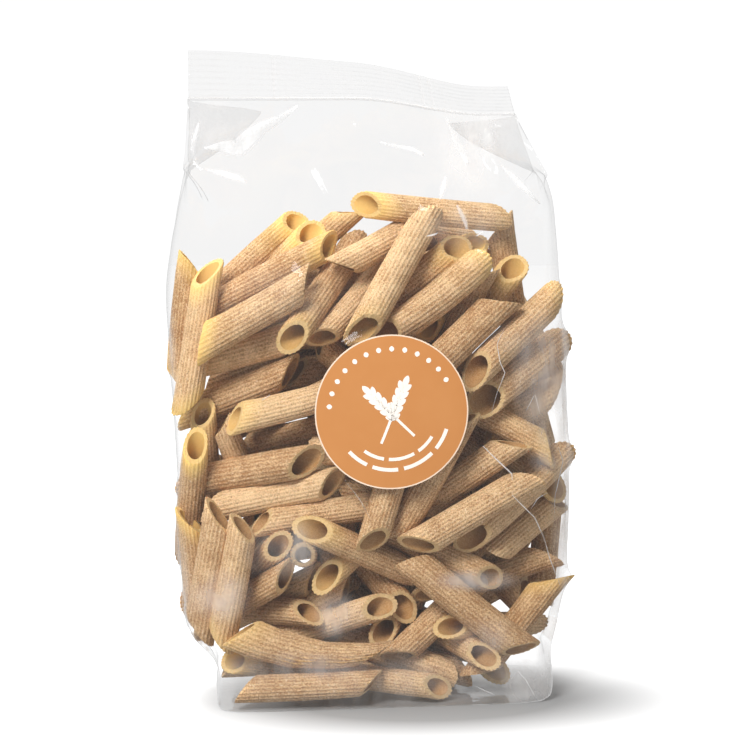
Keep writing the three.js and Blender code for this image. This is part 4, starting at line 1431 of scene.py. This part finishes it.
    def _depth(self, flat: np.ndarray, limits: np.ndarray, raised: np.ndarray) -> np.ndarray:
        """How deep the film lies, with its folds.

        Args:
            flat: the places of the smooth film, in mm.
            limits: how deep the film can go before it touches the pasta, in mm.
            raised: how far the creases stand out, in mm.

        Returns:
            The depth behind the smooth film at each place, in mm.
        """
        from_label = np.hypot(flat[..., 0] - LABEL_CENTRE[0], flat[..., 2] - LABEL_CENTRE[1])
        from_label += (flat[..., 1] > 0) * self.on_the_back
        beside_label = np.clip((from_label - LABEL_RADIUS) * self.label_slope, 0, None)
        limits = np.minimum(limits, beside_label)
        ends = smooth(self.heights / 6) * smooth((SEAL_FOOT - self.heights) / 5)
        from_crease = np.abs(self.heights - CREASE_HEIGHT)
        waist = self.waist_depth * np.clip(1 - from_crease / self.waist_reach, 0, 1)
        ripple = Ripple(self.ripple_seed, self.ripple_length).at(self.shares * TUBE_GIRTH, self.heights)
        folds = (raised + self._wrinkles() + ripple * self.ripple_height) * ends
        depth = np.minimum(self._tighten(limits) - folds + waist, limits)
        for _ in range(self.evenings):
            above = np.vstack([depth[1:], depth[-1:]])
            below = np.vstack([depth[:1], depth[:-1]])
            beside = above + below + np.roll(depth, 1, axis=1) + np.roll(depth, -1, axis=1)
            depth = 0.5 * depth + beside / 8
        stuck = smooth((LABEL_RADIUS + self.label_blend - from_label) / self.label_blend)
        depth = depth * (1 - stuck) - self.under_label * stuck
        depth[0] = 0
        depth[-1] = 0
        return depth

    def skin(self, penne: bpy.types.Object, material: bpy.types.Material) -> bpy.types.Object:
        """Makes the film round the pasta, closed at the base and up to the foot of the seal."""
        flat = self.form.place(self.heights, self.shares)
        raised, veil = self._front_folds(flat)
        depth = self._depth(flat, self._limits(penne), raised)
        grid = self.form.place(self.heights, self.shares, depth)
        middle = grid[0].mean(axis=0)
        rings = np.stack([middle + (grid[0] - middle) * share for share in reversed(self.base_rings)])
        rings[..., 2] = self.base_lift
        rows, around = len(rings) + len(grid), np.arange(self.columns)
        centre = np.array([[middle[0], middle[1], self.base_lift]])
        points = np.concatenate([rings.reshape(-1, 3), grid.reshape(-1, 3), centre])
        veil = np.concatenate([np.full(rings[..., 2].size, self.base_veil), veil.ravel(), [self.base_veil]])
        walls = grid_faces(rows, self.columns, wrapped=True)
        cap = np.stack([np.full(self.columns, rows * self.columns), np.roll(around, -1), around], axis=-1)
        self.tree = BVHTree.FromPolygons(points.tolist(), walls.tolist())
        draft = MeshDraft()
        draft.add(points, [walls, cap], veil=veil)
        film = draft.build("film_skin", material)
        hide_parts("bag")
        return film

    def _ribbon(self, draft: MeshDraft, path: np.ndarray, widths: np.ndarray, veil: float) -> None:
        """Adds a sheet of little thickness that lies on the film, a painted highlight.

        Args:
            draft: the mesh that it is added to.
            path: the pixels along its middle.
            widths: how wide it is at each of them, in pixels.
            veil: how white the painted highlight is.
        """
        steps = np.concatenate([[0], np.cumsum(np.linalg.norm(np.diff(path, axis=0), axis=1))])
        places = np.linspace(0, steps[-1], max(4, int(steps[-1] / self.glint_step_px)))
        line = np.stack([np.interp(places, steps, path[:, axis]) for axis in (0, 1)], axis=1)
        half = np.interp(places, steps, widths)[:, None] / 2
        along = unit(np.gradient(line, axis=0))
        side = np.stack([-along[:, 1], along[:, 0]], axis=1)
        spread = np.linspace(-1, 1, 5)
        px = line[:, None] + side[:, None] * half[:, None] * spread[None, :, None]
        points = np.empty((*px.shape[:2], 3))
        for index in np.ndindex(px.shape[:2]):
            ray = self.view.rays(px[index][None])[0]
            hit = self.tree.ray_cast(Vector(self.view.eye), Vector(ray))
            if hit[0] is None:
                return
            points[index] = np.array(hit[0]) - ray * self.glint_lift
        fading = np.broadcast_to(veil * (1 - spread ** 2), points.shape[:2])
        add_slab(draft, points + self.view.back * self.glint_thickness, points, veil=fading)

    def glints(self, material: bpy.types.Material) -> bpy.types.Object:
        """Makes the painted highlights: white lines and patches laid on the film where sharp folds would
        catch the light.
        """
        draft = MeshDraft()
        for crease in CREASES:
            if crease.glint:
                path = np.array(crease.path, float)
                width = crease.glint * self.view.px_per_mm
                taper = np.interp(np.linspace(0, 1, len(path)), [0, 0.3, 0.7, 1], [0.35, 1, 1, 0.35])
                self._ribbon(draft, path, width * taper, crease.veil)
        for glint_patch in PAINTED_GLINTS:
            path = np.array(glint_patch.path, float)
            self._ribbon(draft, path[:, :2], path[:, 2], glint_patch.veil)
        glints = draft.build("film_painted_glint_sheets", material)
        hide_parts("bag")
        return glints

    def strip(self, material: bpy.types.Material) -> bpy.types.Object:
        """Makes the crimped heat seal, which leans back more towards its right end."""
        left = self.form.outline("left", SEAL_FOOT) + self.strip_inset
        right = self.form.outline("right", SEAL_FOOT) - self.strip_inset
        across = np.linspace(left, right, self.strip_columns)
        up = np.linspace(-self.strip_overlap, SEAL_HEIGHT, self.strip_rows)
        x, along = np.meshgrid(across, up)
        share = self.form.seal_share(x)
        wave = Ripple(8, 60).at(x, 0 * x) * 0.5 * smooth(along / 6)
        ribs = self.rib_height * np.sin(math.tau * along / (SEAL_HEIGHT / SEAL_RIBS)) * smooth(along / 0.8)
        layers = sum(self._edge(x, place) for place in self.fold_edges)
        raised = wave + ribs + self.fold_edge_height * layers
        sheets = []
        for side in (-0.5, 0.5):
            off = raised + side * self.strip_thickness
            lean = SEAL_LEAN * (1 - (1 - share) ** 2)
            foot = SEAL_FOOT - SEAL_DROP * smooth((share - 0.5) / 0.4)
            y = along * np.sin(lean) + off * np.cos(lean)
            z = foot + along * np.cos(lean) - off * np.sin(lean)
            sheets.append(np.stack([x, y, z], axis=-1))
        # Each rib gets a whiter line, a painted highlight; the pressed fold edges are milkier for their extra
        # layers, and a whiter line runs along the seal's foot.
        crest = np.abs(np.sin(math.pi * along / (SEAL_HEIGHT / SEAL_RIBS)))
        foot_line = 0.5 * np.clip(1 - np.abs(along - 0.3) / 0.35, 0, 1)
        veil = 0.02 + 0.05 * crest ** 6 + 0.12 * layers + foot_line
        draft = MeshDraft()
        add_slab(draft, sheets[0], sheets[1], veil=np.clip(veil, 0, 1))
        strip = draft.build("heat_seal", material)
        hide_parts("bag")
        return strip

    @staticmethod
    def _edge(x: np.ndarray, place: float) -> np.ndarray:
        """A narrow ridge where an inner fold's edge is pressed into the seal."""
        return np.clip(1 - np.abs(x - place) / 0.6, 0, 1)


@dataclass(eq=False)
class Label:
    """The round paper sticker on the front, with a plain printed design of its own."""

    form: BagForm
    # The paper's thickness, how far it stands off the smooth film, its pale rim (a painted highlight along
    # the edge) and the ink, in mm.
    thickness: float = 0.18
    stand_off: float = 0.75
    rim: float = 0.4
    ink: float = 0.06
    # How far the printed design is turned.
    tilt: float = math.radians(12)
    # The step between the mesh's rings in mm, and the points round each.
    ring_step: float = 1.2
    ring_points: int = 96
    # Two crossed ears of grain: how far each leans, where its stalk starts, and its grains, in mm.
    ear_lean: float = math.radians(34)
    ear_foot: Point2 = (5.2, -8.6)
    stalk_length: float = 17.0
    stalk_width: float = 0.8
    grains: int = 5
    first_grain: float = 7.6
    grain_step: float = 2.35
    grain_out: float = 1.75
    grain_length: float = 3.6
    grain_width: float = 1.75
    tip_out: float = 20.2
    tip_length: float = 4.0
    tip_width: float = 1.9
    # Arcs of short bars: the radius and width of each in mm, and where its bars start and end in degrees.
    bars: tuple[tuple[float, float, tuple[Point2, ...]], ...] = (
        (17.6, 1.15, ((-150, -128), (-122, -96), (-90, -58), (-52, -30))),
        (14.4, 1.0, ((-138, -112), (-106, -74), (-68, -44))),
    )
    # An arc of dots: how many, their radius in mm, and the first and the step in degrees.
    dots: int = 13
    dot_radius: float = 19.2
    first_dot: int = 18
    dot_step: int = 12
    dot_length: float = 1.7
    dot_width: float = 1.5

    def __post_init__(self) -> None:
        """Gives the paper its slight waves."""
        self.ripple = Ripple(21, 42)

    def surface(self, u: np.ndarray, v: np.ndarray, lift: float) -> np.ndarray:
        """Places on the sticker, u across and v up from its middle, raised by a lift."""
        x, z = LABEL_CENTRE[0] + u, LABEL_CENTRE[1] + v
        wave = self.ripple.at(u, v) * 0.25
        return np.stack([x, self.form.front(x, z) - self.stand_off - wave * 0.6 - lift, z], axis=-1)

    def _disc(self, draft: MeshDraft, inner: float, outer: float, low: float, high: float) -> None:
        """Adds a flat ring, or a disc where the inner radius is next to nothing, between two lifts."""
        outwards = np.linspace(inner, outer, max(3, int((outer - inner) / self.ring_step)))
        radii = np.concatenate([outwards, outwards[::-1], outwards[:1]])
        lifts = np.concatenate([np.full(len(outwards), high), np.full(len(outwards), low), [high]])
        angle = math.tau * np.arange(self.ring_points) / self.ring_points
        u, v = radii[:, None] * np.cos(angle), radii[:, None] * np.sin(angle)
        points = self.surface(u, v, np.broadcast_to(lifts[:, None], u.shape))
        draft.add(points, [grid_faces(len(radii), len(angle), wrapped=True)], rounded=False)

    def make(self, paper: bpy.types.Material, rim: bpy.types.Material) -> list[bpy.types.Object]:
        """Makes the paper and its pale rim, a painted highlight along the sticker's cut edge."""
        edge = LABEL_RADIUS - self.rim
        pieces = []
        for name, inner, outer, material in (("label_paper", 0.01, edge, paper),
                                             ("label_rim_painted_highlight", edge, LABEL_RADIUS, rim)):
            draft = MeshDraft()
            self._disc(draft, inner, outer, 0, self.thickness)
            piece = draft.build(name, material)
            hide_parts("label")
            pieces.append(piece)
        return pieces

    def _add_shape(self, draft: MeshDraft, left: np.ndarray, right: np.ndarray) -> None:
        """Adds a flat printed shape between two lines of (u, v) places."""
        cos, sin = math.cos(self.tilt), math.sin(self.tilt)
        lines = np.stack([left, right], axis=1)
        u = lines[..., 0] * cos - lines[..., 1] * sin
        v = lines[..., 0] * sin + lines[..., 1] * cos
        base = self.thickness
        add_slab(draft, self.surface(u, v, base + self.ink), self.surface(u, v, base - 0.02), rounded=False)

    def _leaf(self, draft: MeshDraft, middle: np.ndarray, turn: float, length: float, width: float) -> None:
        """Adds a pointed leaf shape, such as one grain of an ear."""
        t = np.linspace(-1, 1, 11)
        half = width / 2 * (1 - t * t) ** 0.7
        along = np.array([math.cos(turn), math.sin(turn)])
        across = np.array([-along[1], along[0]])
        spine = middle + t[:, None] * along * length / 2
        self._add_shape(draft, spine - half[:, None] * across, spine + half[:, None] * across)

    def _stroke(self, draft: MeshDraft, path: np.ndarray, width: float) -> None:
        """Adds a line of even width along a path."""
        along = unit(np.gradient(path, axis=0))
        across = np.stack([-along[:, 1], along[:, 0]], axis=1) * width / 2
        self._add_shape(draft, path - across, path + across)

    def _ear(self, draft: MeshDraft, side: int) -> None:
        """Adds an ear of grain whose stalk starts left (side 1) or right (side -1) of the middle."""
        lean = math.radians(90) - self.ear_lean * side
        stalk = np.array([math.cos(lean), math.sin(lean)])
        foot = np.array([-self.ear_foot[0] * side, self.ear_foot[1]])
        self._stroke(draft, foot + np.linspace(0, self.stalk_length, 12)[:, None] * stalk, self.stalk_width)
        for step in range(self.grains):
            node = foot + stalk * (self.first_grain + self.grain_step * step)
            for hand in (-1, 1):
                turn = lean + hand * self.ear_lean
                place = node + self.grain_out * np.array([math.cos(turn), math.sin(turn)])
                self._leaf(draft, place, turn, self.grain_length, self.grain_width)
        self._leaf(draft, foot + stalk * self.tip_out, lean, self.tip_length, self.tip_width)

    def print_design(self, ink: bpy.types.Material) -> bpy.types.Object:
        """Makes the printed design: two crossed ears of grain, arcs of short bars and an arc of dots."""
        draft = MeshDraft()
        for side in (-1, 1):
            self._ear(draft, side)
        for radius, width, spans in self.bars:
            for span in spans:
                angle = np.radians(np.linspace(*span, 9))
                self._stroke(draft, radius * np.stack([np.cos(angle), np.sin(angle)], axis=1), width)
        for step in range(self.dots):
            turn = math.radians(self.first_dot + self.dot_step * step)
            place = self.dot_radius * np.array([math.cos(turn), math.sin(turn)])
            self._leaf(draft, place, turn, self.dot_length, self.dot_width)
        design = draft.build("label_print", ink)
        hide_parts("label")
        return design


@dataclass(frozen=True)
class Softbox:
    """A studio lamp: its place and size in metres, its face's brightness, and whether the film mirrors it."""

    name: str
    place: Point3
    width: float
    height: float
    brightness: float
    mirrored: bool = False


@dataclass(eq=False)
class Studio:
    """The pale floor, the white surroundings and the lamps."""

    # Where the lamps are aimed, in metres.
    aim: Point3 = (0.0, 0.0, 0.09)
    lamps: tuple[Softbox, ...] = (
        Softbox("overhead", (-0.22, 0.22, 1.15), 0.5, 0.5, 15.0),
        Softbox("key", (-0.44, -0.66, 0.68), 0.34, 0.34, 27.0),
        Softbox("glint", (-0.30, -0.70, 0.95), 0.22, 0.22, 8.0, mirrored=True),
    )
    # The floor's radius in metres, its corners, and how brightly its far parts glow, a painted light that
    # only the camera sees.
    floor_radius: float = 1.6
    floor_points: int = 96
    painted_floor_glow: float = 0.9
    # Where the painted glow starts and where it is full, in metres from the middle of an oval under the
    # packet.
    shadow_from: float = 0.04
    shadow_to: float = 0.1
    shadow_middle: Point2 = (0.012, -0.02)
    shadow_shape: Point3 = (1.0, 1.6, 1.0)
    # How bright the white surroundings are where they are seen, in the film's mirror, and as light.
    seen: float = 1.05
    mirrored: float = 0.93
    lighting: float = 0.32

    def make(self) -> None:
        """Sets up the whole studio."""
        for lamp in self.lamps:
            self._lamp(lamp)
        self._surroundings()
        self._floor()
        scene = bpy.context.scene
        scene.view_settings.view_transform = "Standard"
        scene.cycles.transparent_max_bounces = 32
        scene.cycles.max_bounces = 10
        scene.cycles.caustics_reflective = False
        scene.cycles.caustics_refractive = False

    def _lamp(self, lamp: Softbox) -> None:
        """Adds one lamp, aimed at the packet."""
        data = bpy.data.lights.new(lamp.name, "AREA")
        data.shape = "RECTANGLE"
        data.size, data.size_y = lamp.width, lamp.height
        data.energy = lamp.brightness * math.pi * lamp.width * lamp.height
        light = bpy.data.objects.new(lamp.name, data)
        light.location = lamp.place
        light.rotation_mode = "QUATERNION"
        light.rotation_quaternion = (Vector(self.aim) - Vector(lamp.place)).to_track_quat("-Z", "Y")
        light.visible_glossy = lamp.mirrored
        bpy.context.scene.collection.objects.link(light)

    def _surroundings(self) -> None:
        """White for the camera, and dimmer for what the film mirrors, so that its glints show."""
        world = bpy.data.worlds.new("studio")
        bpy.context.scene.world = world
        world.use_nodes = True
        nodes = Nodes(world.node_tree)
        path = nodes.add("LightPath")
        seen, mirrored, lighting = (
            nodes.add("Background", {"Color": linear("#FFFFFF"), "Strength": strength}).outputs[0]
            for strength in (self.seen, self.mirrored, self.lighting))
        inputs = {0: path.outputs["Is Glossy Ray"], 1: lighting, 2: mirrored}
        other = nodes.add("MixShader", inputs).outputs[0]
        both = nodes.add("MixShader", {0: path.outputs["Is Camera Ray"], 1: other, 2: seen}).outputs[0]
        nodes.add("OutputWorld", {"Surface": both})

    def _floor(self) -> None:
        """A grey floor whose far parts glow white for the camera, a painted light, so that only the near
        shadow shows.
        """
        material, nodes = new_material("white_floor")
        place = nodes.add("TexCoord").outputs["Object"]
        shift = [-middle * scale for middle, scale in zip(self.shadow_middle, self.shadow_shape)]
        shape = {"Vector": place, "Scale": self.shadow_shape, "Location": (*shift, 0.0)}
        oval = nodes.add("Mapping", shape).outputs[0]
        away = nodes.add("VectorMath", {0: oval}, operation="LENGTH").outputs["Value"]
        # The painted glow: emission that grows with distance from the packet, for camera rays only.
        glow = nodes.spread(away, self.shadow_from, self.shadow_to, 0.0, self.painted_floor_glow)
        matt = nodes.add("BsdfDiffuse", {"Color": linear("#A8A8A8")}).outputs[0]
        path = nodes.add("LightPath")
        shown = nodes.maths("MULTIPLY", glow, path.outputs["Is Camera Ray"])
        light = nodes.add("Emission", {"Strength": shown}).outputs[0]
        floor_seen = nodes.add("AddShader", {0: matt, 1: light}).outputs[0]
        mirrored = nodes.add("Emission", {"Strength": self.mirrored}).outputs[0]
        inputs = {0: path.outputs["Is Glossy Ray"], 1: floor_seen, 2: mirrored}
        nodes.output(nodes.add("MixShader", inputs).outputs[0])
        angle = math.tau * np.arange(self.floor_points) / self.floor_points
        rim = np.stack([np.cos(angle), np.sin(angle), 0 * angle], axis=1) * self.floor_radius
        mesh = bpy.data.meshes.new("floor")
        mesh.from_pydata(rim.tolist(), [], [tuple(range(self.floor_points))])
        mesh.materials.append(material)
        floor = bpy.data.objects.new("floor", mesh)
        bpy.context.scene.collection.objects.link(floor)


def main() -> None:
    """Builds the packet and its studio, piece by piece."""
    logging.basicConfig(level=logging.INFO, format="%(message)s")
    view = PhotoView()
    view.make_camera()
    Studio().make()
    form = BagForm()
    heap = Heap(form, view, PenneSize())
    penne = heap.make(PastaFinish().material())
    film = Film(form, view)
    clear = FilmFinish("clear_film").material()
    film.skin(penne, clear)
    film.strip(clear)
    # The painted highlights are plain milky white, with no mirror of their own.
    film.glints(FilmFinish("film_painted_glints", "#FFFFFF", "#FFFFFF", straight_on=0.0, at_slant=0.0).material())
    label = Label(form)
    # The pale rim is a painted highlight along the sticker's edge.
    label.make(PaperFinish("orange_paper", "#CA8B54", "#C6864F").material(),
               PaperFinish("rim_painted_highlight", "#F3DCC6", "#EFD6BD").material())
    label.print_design(PaperFinish("white_ink", "#FAF3EA", "#F7EFE4").material())


if __name__ == "__main__":
    main()
